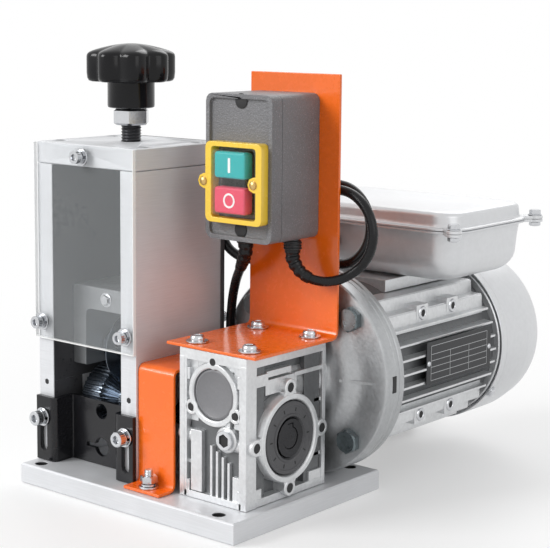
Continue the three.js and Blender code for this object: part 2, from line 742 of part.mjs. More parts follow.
const rodBottom = blade.height + carriage.top - carriage.screwPocket + gap;
const screwGroup = group(headGroup, 0, 0, 0);
const knobMesh = add(group(screwGroup, 0, 0, knob.bottom), 'star_knob', starKnob(), blackPlastic);
knobMesh.rotation.z = THREE.MathUtils.degToRad(knob.turn);
const adjustingRod = rod(screwRod.radius, [rodBottom, knob.bottom + screwRod.insideKnob], medium);
add(screwGroup, 'adjusting_screw', adjustingRod, blackSteel);
add(
  group(screwGroup, 0, 0, jamNut.bottom), 'knob_nut',
  cut(
    rod(jamNut.acrossCorners / 2, [0, jamNut.height], hexagon),
    rod(screwRod.radius + gap, [-overrun, jamNut.height + overrun], medium),
  ),
  brightSteel,
);

// Orange cover over the drive shaft between the head and the gearbox

function couplingCover() {
  const { sheet, width, bend, front, back, height, foot, footRise } = cover;
  const path = [
    [-front - foot, footRise], [-front, footRise], [-front, height],
    [back, height], [back, footRise], [back + foot, footRise],
  ];
  const bent = bentSheet(path, sheet, bend, width);
  const standing = moved(bent.rotateY(Math.PI / 2).rotateX(Math.PI / 2), -width / 2, 0, 0);
  return cut(standing, ...coverBoltYs.map((y) => rodZ(m6.shank + gap, 0, y, [-overrun, footRise + overrun])));
}

add(group(machine, coverX, feedY, baseTop), 'coupling_cover', couplingCover(), orange);

// Worm gearbox

function hubLugs(span) {
  const lugs = [0, 1, 2, 3].map((i) => {
    const angle = i * Math.PI / 2;
    const y = gearbox.lugCircle * Math.cos(angle);
    const z = shaft.height + gearbox.lugCircle * Math.sin(angle);
    return rodX(gearbox.lugRadius, span, y, z);
  });
  return lugs;
}

function wormLugs(span) {
  return [0, 1, 2].map((i) => {
    const angle = Math.PI / 2 + i * 2 * Math.PI / 3;
    const x = gearbox.wormLugCircle * Math.cos(angle);
    const z = wormHeight + gearbox.wormLugCircle * Math.sin(angle);
    return rodY(gearbox.wormLugRadius, x, span, z);
  });
}

// Side outline of the cast body: a foot flange, a waist and a top flange, as [y, z]
function gearboxOutline() {
  const { depth, height, footHeight, capHeight, ribReach } = gearbox;
  const half = depth / 2;
  const waist = half - ribReach;
  const right = [
    [half, gap], [half, footHeight], [waist, footHeight + ribReach],
    [waist, height - capHeight - ribReach], [half, height - capHeight], [half, height],
  ];
  const left = right.map(([y, z]) => [-y, z]).reverse();
  return [...right, ...left];
}

function gearboxHousing() {
  const g = gearbox;
  const halfDepth = g.depth / 2;
  const halfBody = g.bodyWidth / 2;
  const halfHub = g.hubWidth / 2;
  const profile = new THREE.Shape(gearboxOutline().map((point) => new THREE.Vector2(...point)));
  const bossSpan = [-halfDepth, halfDepth];
  const standing = extruded(profile, g.bodyWidth).rotateX(Math.PI / 2).rotateZ(Math.PI / 2);
  const body = join(
    moved(standing, -halfBody, 0, 0),
    rodY(g.wormBoss, 0, bossSpan, wormHeight, medium), ...wormLugs(bossSpan),
    rodX(g.hubRadius, [-halfHub, halfHub], 0, shaft.height, fine),
    ...hubLugs([-halfHub, g.lugLength - halfHub]), ...hubLugs([halfHub - g.lugLength, halfHub]),
    rodY(oilPlug.radius + oilPlug.boss, oilPlug.x, [-halfDepth, 0], oilPlug.z, narrow),
  );
  const chamber = rodX(g.chamberRadius, [-g.chamberHalfWidth, g.chamberHalfWidth], 0, shaft.height, fine);
  const past = [-halfHub - overrun, halfHub + overrun];
  const lugHoles = [0, 1, 2, 3].map((i) => {
    const angle = i * Math.PI / 2;
    const y = g.lugCircle * Math.cos(angle);
    const z = shaft.height + g.lugCircle * Math.sin(angle);
    return rodX(g.lugHole, [halfHub - g.lugHoleDepth, past[1]], y, z);
  });
  const wormHoles = [0, 1, 2].map((i) => {
    const angle = Math.PI / 2 + i * 2 * Math.PI / 3;
    const x = g.wormLugCircle * Math.cos(angle);
    const z = wormHeight + g.wormLugCircle * Math.sin(angle);
    return rodY(g.wormLugHole, x, [-halfDepth - overrun, g.lugHoleDepth - halfDepth], z);
  });
  const screws = gearScrewPlaces.flatMap(([x, y]) => [
    rodZ(m6.shank + gap, x, y, [-overrun, m6.length - base.thickness + counterbore.depth + gap]),
    rodZ(m6.shank + gap, x, y, [g.height - g.footHeight, g.height + overrun]),
  ]);
  return cut(
    body, chamber,
    rodX(g.outputBore, past, 0, shaft.height, fine),
    rodY(g.wormBore, 0, [-halfDepth - overrun, halfDepth + overrun], wormHeight, fine),
    ...lugHoles, ...wormHoles, ...screws,
  );
}

const wormCoverDepth = 4;
const wormCoverInset = 1.5;
const sealWidth = 4;

function wormCover() {
  const start = -gearbox.depth / 2 + wormCoverInset;
  return rodY(gearbox.wormBore - gap, 0, [start, start + wormCoverDepth], wormHeight, fine);
}

// Rings on the output axis, from the right end inwards: a seal, then a bearing
const outputEnd = gearbox.hubWidth / 2 - outputTube.inset;
const outputBearingEnd = outputEnd - sealWidth - gap;

function outputRing([from, to], side) {
  const piece = ring(outputTube.outer + running, gearbox.outputBore - gap, [from, to]);
  return moved(aimed(piece, side > 0 ? '+x' : '-x'), 0, 0, shaft.height);
}

const wormFront = -gearbox.depth / 2 + wormCoverInset + wormCoverDepth + gap;
const wormRear = gearbox.depth / 2 - worm.bearingWidth - gap;

function wormBearing(journal, start) {
  const piece = ring(journal + running, gearbox.wormBore - gap, [start, start + worm.bearingWidth]);
  return moved(aimed(piece, '+y'), 0, 0, wormHeight);
}

function outputShaft() {
  const tube = aimed(ring(outputTube.bore, outputTube.outer, [-outputEnd, outputEnd], medium), '+x');
  return cut(tube, block([-outputEnd - overrun, outputEnd + overrun],
    [-key.width / 2 - gap, key.width / 2 + gap], [0, outputTube.keywayDepth]));
}

// Worm wheel: straight-sided teeth, twisted by the worm's lead angle
function wormWheel() {
  const { teeth, pitchRadius, face } = wheel;
  const { addendum, dedendum, widthShare, tipShare, rootShare } = toothForm;
  const tip = pitchRadius + addendum;
  const root = pitchRadius - dedendum;
  const step = 2 * Math.PI / teeth;
  const marks = [[-rootShare, root], [-tipShare, tip], [tipShare, tip], [rootShare, root]];
  const level = (x) => {
    const twist = -threadLead / (2 * Math.PI * wormPitch) * x / pitchRadius;
    return Array.from({ length: teeth }, (_, i) => marks.map(([share, radius]) => {
      const angle = Math.PI / 2 + (i + share * widthShare) * step - twist;
      return [x, radius * Math.cos(angle), radius * Math.sin(angle)];
    })).flat();
  };
  const body = lofted([level(-face / 2), level(face / 2)]);
  return cut(body, rodX(outputTube.outer + gap, [-face / 2 - overrun, face / 2 + overrun], 0, 0, medium));
}

// Worm: one thread of the wheel's pitch around a core, with a hollow end for the motor shaft
function wormShaft() {
  const { halfLength, turnSides, turnSteps } = worm;
  const { addendum, dedendum, widthShare, tipShare, rootShare } = toothForm;
  const levels = Math.round(2 * halfLength / threadLead * turnSteps);
  const thread = (share) => {
    const away = Math.abs(share - Math.round(share)) / widthShare;
    const part = THREE.MathUtils.clamp((away - tipShare) / (rootShare - tipShare), 0, 1);
    return wormPitch + addendum - part * (addendum + dedendum);
  };
  const rings = Array.from({ length: levels + 1 }, (_, level) => {
    const y = -halfLength + 2 * halfLength * level / levels;
    const last = level === 0 || level === levels;
    return Array.from({ length: turnSides }, (__, i) => {
      const angle = 2 * Math.PI * i / turnSides;
      const share = y / threadLead - angle / (2 * Math.PI);
      const radius = last ? wormPitch - dedendum : thread(share);
      return [radius * Math.sin(angle), y, radius * Math.cos(angle)];
    });
  });
  const rearEnd = gearbox.depth / 2 + worm.rearEnd;
  const body = join(
    lofted(rings),
    rodY(worm.frontJournal, 0, [wormFront, -halfLength + weld], 0, narrow),
    rodY(worm.rearJournal, 0, [wormRear - gap, rearEnd], 0, narrow),
    rodY(wormPitch - dedendum, 0, [halfLength - weld, wormRear], 0, narrow),
  );
  return cut(body, rodY(worm.bore, 0, [halfLength, rearEnd + overrun], 0, narrow));
}

function oilPlugBody() {
  const { radius, thickness, socket, floor } = oilPlug;
  const recess = rod(socket, [floor, thickness + overrun], hexagon);
  return aimed(cut(rod(radius, [0, thickness], narrow), recess), '-y');
}

add(gearGroup, 'gearbox_housing', gearboxHousing(), castAluminium);
add(gearGroup, 'worm_cover', wormCover(), greyPlastic);
for (const [side, name] of [[-1, 'left'], [1, 'right']]) {
  const bearingSpan = [outputBearingEnd - worm.bearingWidth, outputBearingEnd];
  add(gearGroup, `${name}_output_seal`, outputRing([outputEnd - sealWidth, outputEnd], side), darkSteel);
  add(gearGroup, `${name}_output_bearing`, outputRing(bearingSpan, side), brightSteel);
}
add(gearGroup, 'front_worm_bearing', wormBearing(worm.frontJournal, wormFront), brightSteel);
add(gearGroup, 'rear_worm_bearing', wormBearing(worm.rearJournal, wormRear), brightSteel);
add(group(gearGroup, 0, 0, shaft.height), 'output_shaft', outputShaft(), darkSteel);
add(group(gearGroup, 0, 0, shaft.height), 'worm_wheel', wormWheel(), bronze);
add(group(gearGroup, 0, 0, wormHeight), 'worm_shaft', wormShaft(), steel);
add(group(gearGroup, oilPlug.x, -gearbox.depth / 2 - gap, oilPlug.z), 'oil_plug', oilPlugBody(), brightSteel);

// Input flange between the gearbox and the motor, and the motor's front shield

function boltPlaces(radius) {
  return Array.from({ length: flangeBolt.count }, (_, i) => {
    const angle = (i + 0.5) * 2 * Math.PI / flangeBolt.count;
    return [radius * Math.cos(angle), radius * Math.sin(angle)];
  });
}

function inputFlangeBody() {
  const { neckRadius, faceRadius, coneRadius, radius, rim, cone, seatDepth, bore } = inputFlange;
  const depth = cone + rim;
  const dish = turned([
    [bore, 0], [neckRadius, 0], [neckRadius, seatDepth], [faceRadius, seatDepth],
    [coneRadius, cone], [radius, cone], [radius, depth], [bore, depth],
  ], finest);
  const holes = boltPlaces(flangeBolt.circle).map(([x, y]) => rodZ(
    flangeBolt.shank + gap, x, y, [0, depth + overrun],
  ));
  return aimed(cut(dish, ...holes), '+y');
}

function frontShield() {
  const { rim, spigot, bearingSeat, shaftHole } = shield;
  const outer = inputFlange.radius;
  const disc = turned([
    [shaftHole, 0], [outer, 0], [outer, rim], [motor.bore - motor.fit, rim],
    [motor.bore - motor.fit, rim + spigot], [bearingSeat, rim + spigot],
    [bearingSeat, rim - gap], [shaftHole, rim - gap],
  ], finest);
  const holes = boltPlaces(flangeBolt.circle).map(([x, y]) => rodZ(
    flangeBolt.shank + gap, x, y, [-overrun, rim],
  ));
  return aimed(cut(disc, ...holes), '+y');
}

add(group(motorGroup, 0, flangeY, 0), 'input_flange', inputFlangeBody(), castAluminium);
add(group(motorGroup, 0, shieldY, 0), 'motor_front_shield', frontShield(), castAluminium);

// Motor: finned housing, stator, rotor, rear shield, fan and fan cover

function motorHousing() {
  const m = motor;
  const tube = rodY(m.bore + m.wall, 0, [0, m.length], 0, finest);
  const fins = [];
  for (let row = -m.finRows; row <= m.finRows; row += 1) {
    const low = row * m.finPitch - m.finThickness / 2;
    fins.push(block([-m.finRadius, m.finRadius], [0, m.length], [low, low + m.finThickness]));
  }
  const envelope = rodY(m.finRadius, 0, [0, m.length], 0, finest);
  const padYs = [m.padFirst, m.padFirst + m.padSpacing];
  const padZs = [-m.padHeight, m.padHeight];
  const sides = [-1, 1];
  const pads = sides.flatMap((side) => padYs.flatMap((y) => padZs.map((z) => block(
    ordered(side * (m.padFace - m.padDepth), side * m.padFace),
    [y - m.padWidth / 2, y + m.padWidth / 2], [z - m.padRise / 2, z + m.padRise / 2],
  ))));
  const boxSeat = block([-m.seatWidth / 2, m.seatWidth / 2], [m.seatFirst, m.length], [m.bore, m.flatTop]);
  const finned = common(join(tube, ...fins, boxSeat), envelope);
  const plateSpan = [nameplate.first - overrun, nameplate.first + nameplate.length + overrun];
  const seat = block([m.plateFlat, m.finRadius + overrun], plateSpan,
    [nameplate.rise - nameplate.height / 2 - overrun, nameplate.rise + nameplate.height / 2 + overrun]);
  const bore = rodY(m.bore, 0, [-overrun, m.length + overrun], 0, finest);
  return cut(join(finned, ...pads), seat, bore);
}

function statorBody() {
  const s = stator;
  const start = s.start;
  const end = start + s.coreLength + 2 * s.windingLength;
  return aimed(turned([
    [s.inner, start], [s.windingOuter, start], [s.windingOuter, start + s.windingLength],
    [motor.bore - motor.fit, start + s.windingLength], [motor.bore - motor.fit, end - s.windingLength],
    [s.windingOuter, end - s.windingLength], [s.windingOuter, end], [s.inner, end],
  ], medium), '+y');
}

// Rotor core on its stepped shaft, which reaches the worm in front and the fan behind
function rotorBody() {
  const core = stator.start + stator.windingLength;
  const front = shield.rim + gap - housingY + shieldY;
  const seatFront = front - shield.rim;
  const back = motor.length - rearShield.spigot;
  const shaftFrom = seatFront;
  const tipFrom = -(housingY - gearbox.depth / 2);
  const shaftTo = back + rearShield.spigot;
  return join(
    rodY(rotor.radius, 0, [core, core + rotor.length], 0, medium),
    rodY(rotor.shaft, 0, [shaftFrom, shaftTo], 0, narrow),
    rodY(rotor.tip, 0, [tipFrom, shaftFrom + weld], 0, narrow),
    rodY(rotor.tail, 0, [shaftTo - weld, shaftTo + rotor.tailLength], 0, narrow),
  );
}

const motorBearingWidth = 9;

const motorBearing = aimed(
  ring(rotor.shaft + running, shield.bearingSeat - gap, [0, motorBearingWidth]), '+y',
);

const coverScrewInset = 4;
const coverScrewAngles = [-35, -145, 90].map((angle) => THREE.MathUtils.degToRad(angle));

// Copies of an upright piece, turned to point out of the motor where the fan cover has its screws
function radialPlaces(piece) {
  return coverScrewAngles.map((angle) => moved(
    piece.clone().rotateY(Math.PI / 2).rotateZ(-angle), 0, 0, coverScrewInset,
  ));
}

function rearShieldBody() {
  const { thickness, spigot, screwHole } = rearShield;
  const seat = shield.bearingSeat;
  const radius = fanCover.radius - fanCover.wall - 2 * gap;
  const holes = radialPlaces(rod(m4.shank + gap, [radius - screwHole, radius + overrun], hexagon));
  return aimed(cut(turned([
    [rotor.tail + 2 * running, 0], [seat, 0], [seat, -spigot], [motor.bore - motor.fit, -spigot],
    [motor.bore - motor.fit, 0], [radius, 0], [radius, thickness], [rotor.tail + 2 * running, thickness],
  ], fine), ...holes), '+y');
}

function coolingFan() {
  const { hub, radius, blades, bladeThickness, bladeWidth, disc } = fan;
  const paddles = Array.from({ length: blades }, (_, i) => block(
    [hub - disc, radius], [-bladeThickness / 2, bladeThickness / 2], [0, bladeWidth],
  ).rotateZ(2 * Math.PI * i / blades));
  const body = join(rod(hub, [0, bladeWidth], narrow), rod(radius, [0, disc], medium), ...paddles);
  return aimed(cut(body, rod(rotor.tail + gap, [-overrun, bladeWidth + overrun], medium)), '+y');
}

function fanCoverBody() {
  const { radius, wall, length, shoulder, backRadius, taperRadius, backRound } = fanCover;
  const shell = turned([
    [radius, 0], [radius, shoulder], [taperRadius, length - backRound], [backRadius, length],
    [0, length], [0, length - wall], [backRadius - wall / 2, length - wall],
    [taperRadius - wall, length - backRound - wall / 2], [radius - wall, shoulder], [radius - wall, 0],
  ], finest);
  const slots = Array.from({ length: fanCover.slots }, (_, i) => block(
    [fanCover.slotInner, fanCover.slotOuter], [-fanCover.slotWidth / 2, fanCover.slotWidth / 2],
    [length - wall - overrun, length + overrun],
  ).rotateZ(2 * Math.PI * i / fanCover.slots));
  const screwHoles = radialPlaces(rod(m4.shank + gap, [radius - wall - overrun, radius + overrun], hexagon));
  return aimed(cut(shell, ...slots, ...screwHoles), '+y');
}

const rotorGroup = group(motorGroup, 0, housingY, 0);
add(rotorGroup, 'motor_housing', motorHousing(), castAluminium);
add(rotorGroup, 'stator', statorBody(), darkSteel);
add(rotorGroup, 'rotor', rotorBody(), steel);
add(rotorGroup, 'front_motor_bearing', motorBearing, brightSteel);
const rearBearingPlace = group(rotorGroup, 0, motor.length - motorBearingWidth - gap, 0);
add(rearBearingPlace, 'rear_motor_bearing', motorBearing, brightSteel);
add(group(motorGroup, 0, rearY, 0), 'rear_shield', rearShieldBody(), castAluminium);
add(group(motorGroup, 0, rearY + fan.offset, 0), 'cooling_fan', coolingFan(), blackPlastic);
add(group(motorGroup, 0, rearY, 0), 'fan_cover', fanCoverBody(), castAluminium);

// Terminal box with its lid, capacitor and nameplate

const lidScrewPlaces = [-1, 1].flatMap((sx) => [-1, 1].map((sy) => [
  sx * (junction.width / 2 + lid.earOffset), sy * (junction.depth / 2 + lid.earOffset),
]));

// Round screw ears on short arms, one out of each corner of the lip
function cornerEars(span) {
  const arm = block([-2 * lid.earRadius, 0], [-lid.earRadius, lid.earRadius], span);
  return lidScrewPlaces.map(([x, y]) => join(
    rodZ(lid.earRadius, x, y, span, coarse),
    moved(arm.clone().rotateZ(Math.atan2(Math.sign(y), Math.sign(x))), x, y, 0),
  ));
}

function tub(width, depth, corner, [bottom, top], round) {
  const middle = round * junction.roundShare;
  const steps = [[0, round], [middle, middle], [round, 0]];
  const rings = steps.map(([rise, inset]) => roundedRing(
    width - 2 * inset, depth - 2 * inset, Math.max(corner - inset, corner / 4), bottom + rise,
  ));
  return lofted([...rings, roundedRing(width, depth, corner, top)]);
}

function terminalBox() {
  const { width, depth, corner, bottom, lip, bottomRound, wall, lipWidth, lipThickness } = junction;
  const body = tub(width, depth, corner, [bottom + gap, lip], bottomRound);
  const lipShape = roundedShape(width + 2 * lipWidth, depth + 2 * lipWidth, corner + lipWidth);
  const rim = moved(extruded(lipShape, lipThickness), 0, 0, lip - lipThickness);
  const ears = cornerEars([lip - lipThickness, lip]);
  const floor = bottomRound - wall;
  const hollow = lofted([
    roundedRing(width - 2 * floor, depth - 2 * floor, corner - floor, bottom + gap + 2 * wall, 1),
    roundedRing(width - floor, depth - floor, corner, bottom + bottomRound / 2, 1),
    roundedRing(width - 2 * wall, depth - 2 * wall, corner, bottom + bottomRound, 1),
    roundedRing(width - 2 * wall, depth - 2 * wall, corner, lip + overrun, 1),
  ]);
  const holes = lidScrewPlaces.map(([x, y]) => rodZ(m4.shank + gap, x, y, [bottom, lip + overrun], hexagon));
  const entry = rodY(
    gland.neck + gap, gland.x, [-depth / 2 - overrun, -depth / 2 + overrun + wall], gland.z, coarse,
  );
  return cut(join(body, rim, ...ears), hollow, entry, ...holes);
}

function terminalLid() {
  const { width, depth, corner, lipWidth, lipThickness, wall } = junction;
  const top = lid.height;
  const pan = lofted([
    roundedRing(width, depth, corner, 0),
    roundedRing(width, depth, corner, top - lid.round),
    roundedRing(width - lid.round / 2, depth - lid.round / 2, corner, top - lid.round * lid.roundShare),
    roundedRing(width - 2 * lid.round, depth - 2 * lid.round, corner - lid.round, top),
  ]);
  const lipShape = roundedShape(width + 2 * lipWidth, depth + 2 * lipWidth, corner + lipWidth);
  const rim = extruded(lipShape, lipThickness);
  const ears = cornerEars([0, lipThickness]);
  const inside = roundedShape(width - 2 * wall, depth - 2 * wall, corner - wall);
  const hollow = moved(extruded(inside, top - wall - lid.round / 2 + overrun), 0, 0, -overrun);
  const through = [-overrun, lipThickness + overrun];
  const holes = lidScrewPlaces.map(([x, y]) => rodZ(m4.shank + gap, x, y, through, hexagon));
  return cut(join(pan, rim, ...ears), hollow, ...holes);
}

function capacitorBody() {
  const z = junction.bottom + 2 * gap + 2 * junction.wall + capacitor.radius;
  return rodX(capacitor.radius, [-capacitor.length / 2, capacitor.length / 2], 0, z, medium);
}

function nameplateBody() {
  const from = motor.plateFlat + gap;
  const z = nameplate.rise;
  return block([from, from + nameplate.thickness], [nameplate.first, nameplate.first + nameplate.length],
    [z - nameplate.height / 2, z + nameplate.height / 2]);
}

const junctionGroup = group(motorGroup, 0, junctionY, 0);
add(junctionGroup, 'terminal_box', terminalBox(), castAluminium);
add(group(junctionGroup, 0, 0, junction.lip + gap), 'terminal_box_lid', terminalLid(), castAluminium);
add(junctionGroup, 'capacitor', capacitorBody(), blackPlastic);
add(rotorGroup, 'nameplate', nameplateBody(), darkSteel);

// Switch bracket on top of the gearbox

function switchBracket() {
  const { sheet, bend, leftReach, rightReach, height, frontLip } = bracket;
  const level = gearbox.height + gap + sheet / 2;
  const front = feedY - gearbox.depth / 2 - frontLip;
  const upright = uprightY + sheet / 2;
  const path = [[front, level], [upright, level], [upright, height]];
  const bent = bentSheet(path, sheet, bend, leftReach + rightReach);
  const standing = moved(bent.rotateY(Math.PI / 2).rotateX(Math.PI / 2), gearX - leftReach, 0, 0);
  const screws = gearScrewPlaces.map(([x, y]) => rodZ(m6.shank + gap, gearX + x, feedY + y,
    [gearbox.height - overrun, gearbox.height + overrun + sheet], coarse));
  return cut(standing, ...screws);
}

add(group(machine, 0, 0, baseTop), 'switch_bracket', switchBracket(), orange);

// Switch box

function boxPlan(width, height, depth, corner) {
  return aimed(extruded(roundedShape(width, height, corner), depth), '+y');
}

const coverFace = -box.depth; // front plane of the box, measured from the bracket

function switchBoxBase() {
  const { width, height, wall, corner, coverDepth } = box;
  const depth = box.depth - coverDepth - 2 * gap;
  const outer = moved(boxPlan(width, height, depth, corner), 0, -gap - depth, 0);
  const inside = boxPlan(width - 2 * wall, height - 2 * wall, depth, corner / 2);
  const inner = moved(inside, 0, -gap - depth - wall, 0);
  const posts = screwOffsets.map((z) => rodY(
    m4.head, bezel.offset, [-depth, -gap - wall / 2], z, coarse,
  ));
  const exits = [-1, 1].map((side) => rodZ(
    grommet.neck + gap, side * grommet.x, grommet.y, [-height, -height / 2 + wall + overrun], coarse,
  ));
  const shell = cut(outer, inner);
  const pilots = screwOffsets.map((z) => rodY(
    m4.shank + gap, bezel.offset, [-depth - overrun, -gap - depth / 2], z,
  ));
  return cut(join(shell, ...posts), ...exits, ...pilots);
}

// Width and height of the space that both buttons move in
const buttonSpace = [button.width, button.spacing + button.height].map((size) => size + 2 * boot.clearance);

function switchBoxCover() {
  const { width, height, coverDepth, corner, rim, recess, wall } = box;
  const dishPlan = [width - 2 * rim, height - 2 * rim];
  const hollowPlan = [width - 2 * wall, height - 2 * wall];
  const outer = moved(boxPlan(width, height, coverDepth, corner), 0, coverFace, 0);
  const dish = moved(boxPlan(...dishPlan, recess + overrun, corner - rim / 2), 0, coverFace - overrun, 0);
  const hollow = moved(boxPlan(...hollowPlan, coverDepth, corner / 2), 0, coverFace + recess + wall, 0);
  const window = moved(
    boxPlan(...buttonSpace, coverDepth + 2 * overrun, button.corner),
    button.offset, coverFace - overrun, -bezel.centreDrop,
  );
  const holes = screwOffsets.map((z) => rodY(
    m4.shank + gap, bezel.offset, [coverFace - overrun, coverFace + coverDepth], z,
  ));
  return cut(outer, dish, hollow, window, ...holes);
}

const screwOffsets = [-1, 1].map((side) => side * (box.height / 2 - box.screwInset) + box.screwOffset);

// Yellow bezel: a raised frame with two lugs for its screws, one reaching in between the buttons
function bezelBody() {
  const { width, height, rise, corner, openWidth, openHeight, lugRadius, lugDepth } = bezel;
  const face = coverFace + box.recess - gap;
  const z = -bezel.centreDrop;
  const frame = moved(boxPlan(width, height, rise, corner), bezel.offset, face - rise, z);
  const open = boxPlan(openWidth, openHeight, rise + 2 * overrun, corner / 2);
  const edges = [-1, 1].map((side) => bezel.offset + side * (openWidth / 2 + bezel.lugReach));
  const lugSpan = [face - rise, face - rise + lugDepth];
  const lugs = [bezel.leftLug, bezel.rightLug].map((x, i) => join(
    rodY(lugRadius, x, lugSpan, z, coarse),
    block(ordered(x, edges[i]), lugSpan, [z - lugRadius, z + lugRadius]),
  ));
  return join(cut(frame, moved(open, bezel.offset, face - rise - overrun, z)), ...lugs);
}

function buttonBody() {
  const { width, height, rise, corner, chamfer, stem, stemLength } = button;
  const cap = moved(aimed(extruded(roundedShape(width, height, corner), rise, chamfer), '+y'), 0, -rise, 0);
  return join(cap, rodY(stem / 2, 0, [-weld, stemLength], 0));
}

// Clear soft boot over both buttons, held under the bezel's lugs
function buttonBoot() {
  const { wall, clearance, flange, brim: brimThickness } = boot;
  const reach = button.rise + clearance;
  const outer = buttonSpace.map((size) => size + 2 * wall);
  const skirt = outer.map((size) => size + 2 * flange);
  const dome = moved(boxPlan(...outer, reach + wall, button.corner + wall), 0, -reach - wall, 0);
  const brim = moved(boxPlan(...skirt, brimThickness, button.corner + wall), 0, -brimThickness, 0);
  const hollow = moved(boxPlan(...buttonSpace, reach + overrun, button.corner), 0, -reach, 0);
  return cut(join(dome, brim), hollow);
}

const buttonFace = coverFace + box.recess - gap;
const switchFace = group(switchGroup, 0, 0, box.centreHeight);
add(switchFace, 'switch_box_base', switchBoxBase(), greyPlastic);
add(switchFace, 'switch_box_cover', switchBoxCover(), greyPlastic);
add(switchFace, 'switch_bezel', bezelBody(), { color: 0xf5cd46, roughness: 0.4, metalness: 0 });
const buttonGroup = group(switchGroup, button.offset, buttonFace, buttonHeight);
const green = { color: 0x00b4b4, roughness: 0.35, metalness: 0 };
const red = { color: 0xff5a78, roughness: 0.35, metalness: 0 };
add(group(buttonGroup, 0, 0, button.spacing / 2), 'start_button', buttonBody(), green);
add(group(buttonGroup, 0, 0, -button.spacing / 2), 'stop_button', buttonBody(), red);
add(buttonGroup, 'button_boot', buttonBoot(), clear);

function contactBody() {
  const { width, height } = contactBlock;
  const front = button.stemLength + button.travel + gap;
  const back = -2 * gap - box.wall - buttonFace;
  return block([-width / 2, width / 2], [front, back], [-height / 2, height / 2]);
}

add(buttonGroup, 'switch_body', contactBody(), blackPlastic);

// A rubber strip with a grommet for each cord under the switch box, and a gland on the terminal box

function boxGrommets() {
  const { radius, length, neck, neckLength, x, strip, stripWidth } = grommet;
  const collars = [-1, 1].flatMap((side) => [
    rodZ(radius, side * x, 0, [-length - gap, -gap], coarse),
    rodZ(neck, side * x, 0, [-gap - weld, neckLength], coarse),
  ]);
  const band = block([-x, x], [-stripWidth / 2, stripWidth / 2], [-gap - strip, -gap]);
  return join(band, ...collars);
}

function leadGland() {
  return aimed(join(
    rod(gland.radius, [gap, gap + gland.nutLength], hexagon),
    rod(gland.neck + gap, [gap + gland.nutLength - weld, gland.length], coarse),
    rod(gland.neck, [-grommet.neckLength, gap + weld], coarse),
  ), '-y');
}

// Cords

// A tube of even radius along a smooth curve through points
function swept(points, sides, steps) {
  const route = points.map((point) => new THREE.Vector3(...point));
  const path = new THREE.CatmullRomCurve3(route, false, 'centripetal');
  const section = Array.from({ length: sides }, (_, i) => {
    const angle = 2 * Math.PI * i / sides;
    return new THREE.Vector2(cord.radius * Math.cos(angle), cord.radius * Math.sin(angle));
  });
  const shape = new THREE.Shape(section);
  return {
    geometry: new THREE.ExtrudeGeometry(shape, { steps, bevelEnabled: false, extrudePath: path }),
    centres: path.getSpacedPoints(steps),
    length: path.getLength(),
  };
}

// Least clear distance between turns of a wound cord, measured between points of its middle line
function leastGap(centres, apart) {
  let least = Infinity;
  for (let i = 0; i < centres.length; i += 1) {
    for (let j = i + apart; j < centres.length; j += 1) {
      least = Math.min(least, centres[i].distanceTo(centres[j]));
    }
  }
  return least - 2 * cord.radius;
}

// Two loops of the motor lead, hanging behind the bracket and drawing in as they go back
function loopPoints() {
  const { x, y, z, advance, outer, inner, from, to, drift, rise } = leadLoops;
  const count = Math.round((to - from) / 360 * cord.loopSteps);
  return Array.from({ length: count + 1 }, (_, i) => {
    const share = i / count;
    const degrees = from + (to - from) * share;
    const angle = THREE.MathUtils.degToRad(degrees);
    const radius = outer + (inner - outer) * share;
    return [
      x + drift * share + radius * Math.sin(angle),
      y + advance * (degrees - from) / 360,
      z + rise * share - radius * Math.cos(angle),
    ];
  });
}

// The mains cord wound in two layers: in over the table, up a layer, and out again
function coilPoints() {
  const { x, y, radius, turns, climbTurns, pitch, lift, tail } = coil;
  const diameter = 2 * cord.radius;
  const low = cord.radius + lift;
  const count = turns * cord.loopSteps;
  const winding = Array.from({ length: count + 1 }, (_, i) => {
    const turn = i / cord.loopSteps;
    const angle = 2 * Math.PI * turn;
    const reach = radius - pitch * Math.min(turn, turns - turn);
    const climb = THREE.MathUtils.clamp((turn - turns / 2) / climbTurns + 1 / 2, 0, 1);
    return [x - radius + reach * Math.cos(angle), y + reach * Math.sin(angle), low + pitch * climb];
  });
  const start = [[x, y - diameter, low], [x, y - diameter / 2, low]];
  const end = [1, 2, 3].map((third) => [x, y + tail * third / 3, low + pitch]);
  return [...start, ...winding, ...end];
}

const lead = swept([...leadStart, ...loopPoints(), ...leadEnd], cord.loopSides, 56);
const mains = swept(mainsRoute, cord.sides, 24);
const wound = swept(coilPoints(), cord.loopSides, coil.turns * cord.loopSteps + 5);

console.log('least gap in the coil', leastGap(wound.centres, cord.loopSteps / 2).toFixed(2), 'mm');
console.log('least gap in the motor lead', leastGap(lead.centres, cord.loopSteps / 2).toFixed(2), 'mm');
console.log('length of the motor lead', lead.length.toFixed(0), 'mm');
console.log('length of the mains cord', (mains.length + wound.length).toFixed(0), 'mm');

function mainsPlug() {
  const { width, thickness, length, corner, neckRadius, neckLength, bladeWidth, bladeThickness } = plug;
  const front = neckLength + length;
  const body = moved(extruded(roundedShape(width, thickness, corner, 2), length), 0, 0, neckLength);
  const blades = [-1, 1].map((side) => {
    const x = side * plug.bladeSpacing / 2;
    return block([x - bladeThickness / 2, x + bladeThickness / 2], [-bladeWidth / 2, bladeWidth / 2],
      [front - overrun, front + plug.bladeLength]);
  });
  const pinEnd = front + plug.bladeLength + plug.pinRadius;
  const pin = rodZ(plug.pinRadius, 0, -plug.pinDrop, [front - overrun, pinEnd]);
  return aimed(join(body, rod(neckRadius, [0, neckLength + weld], coarse), ...blades, pin), '+y');
}

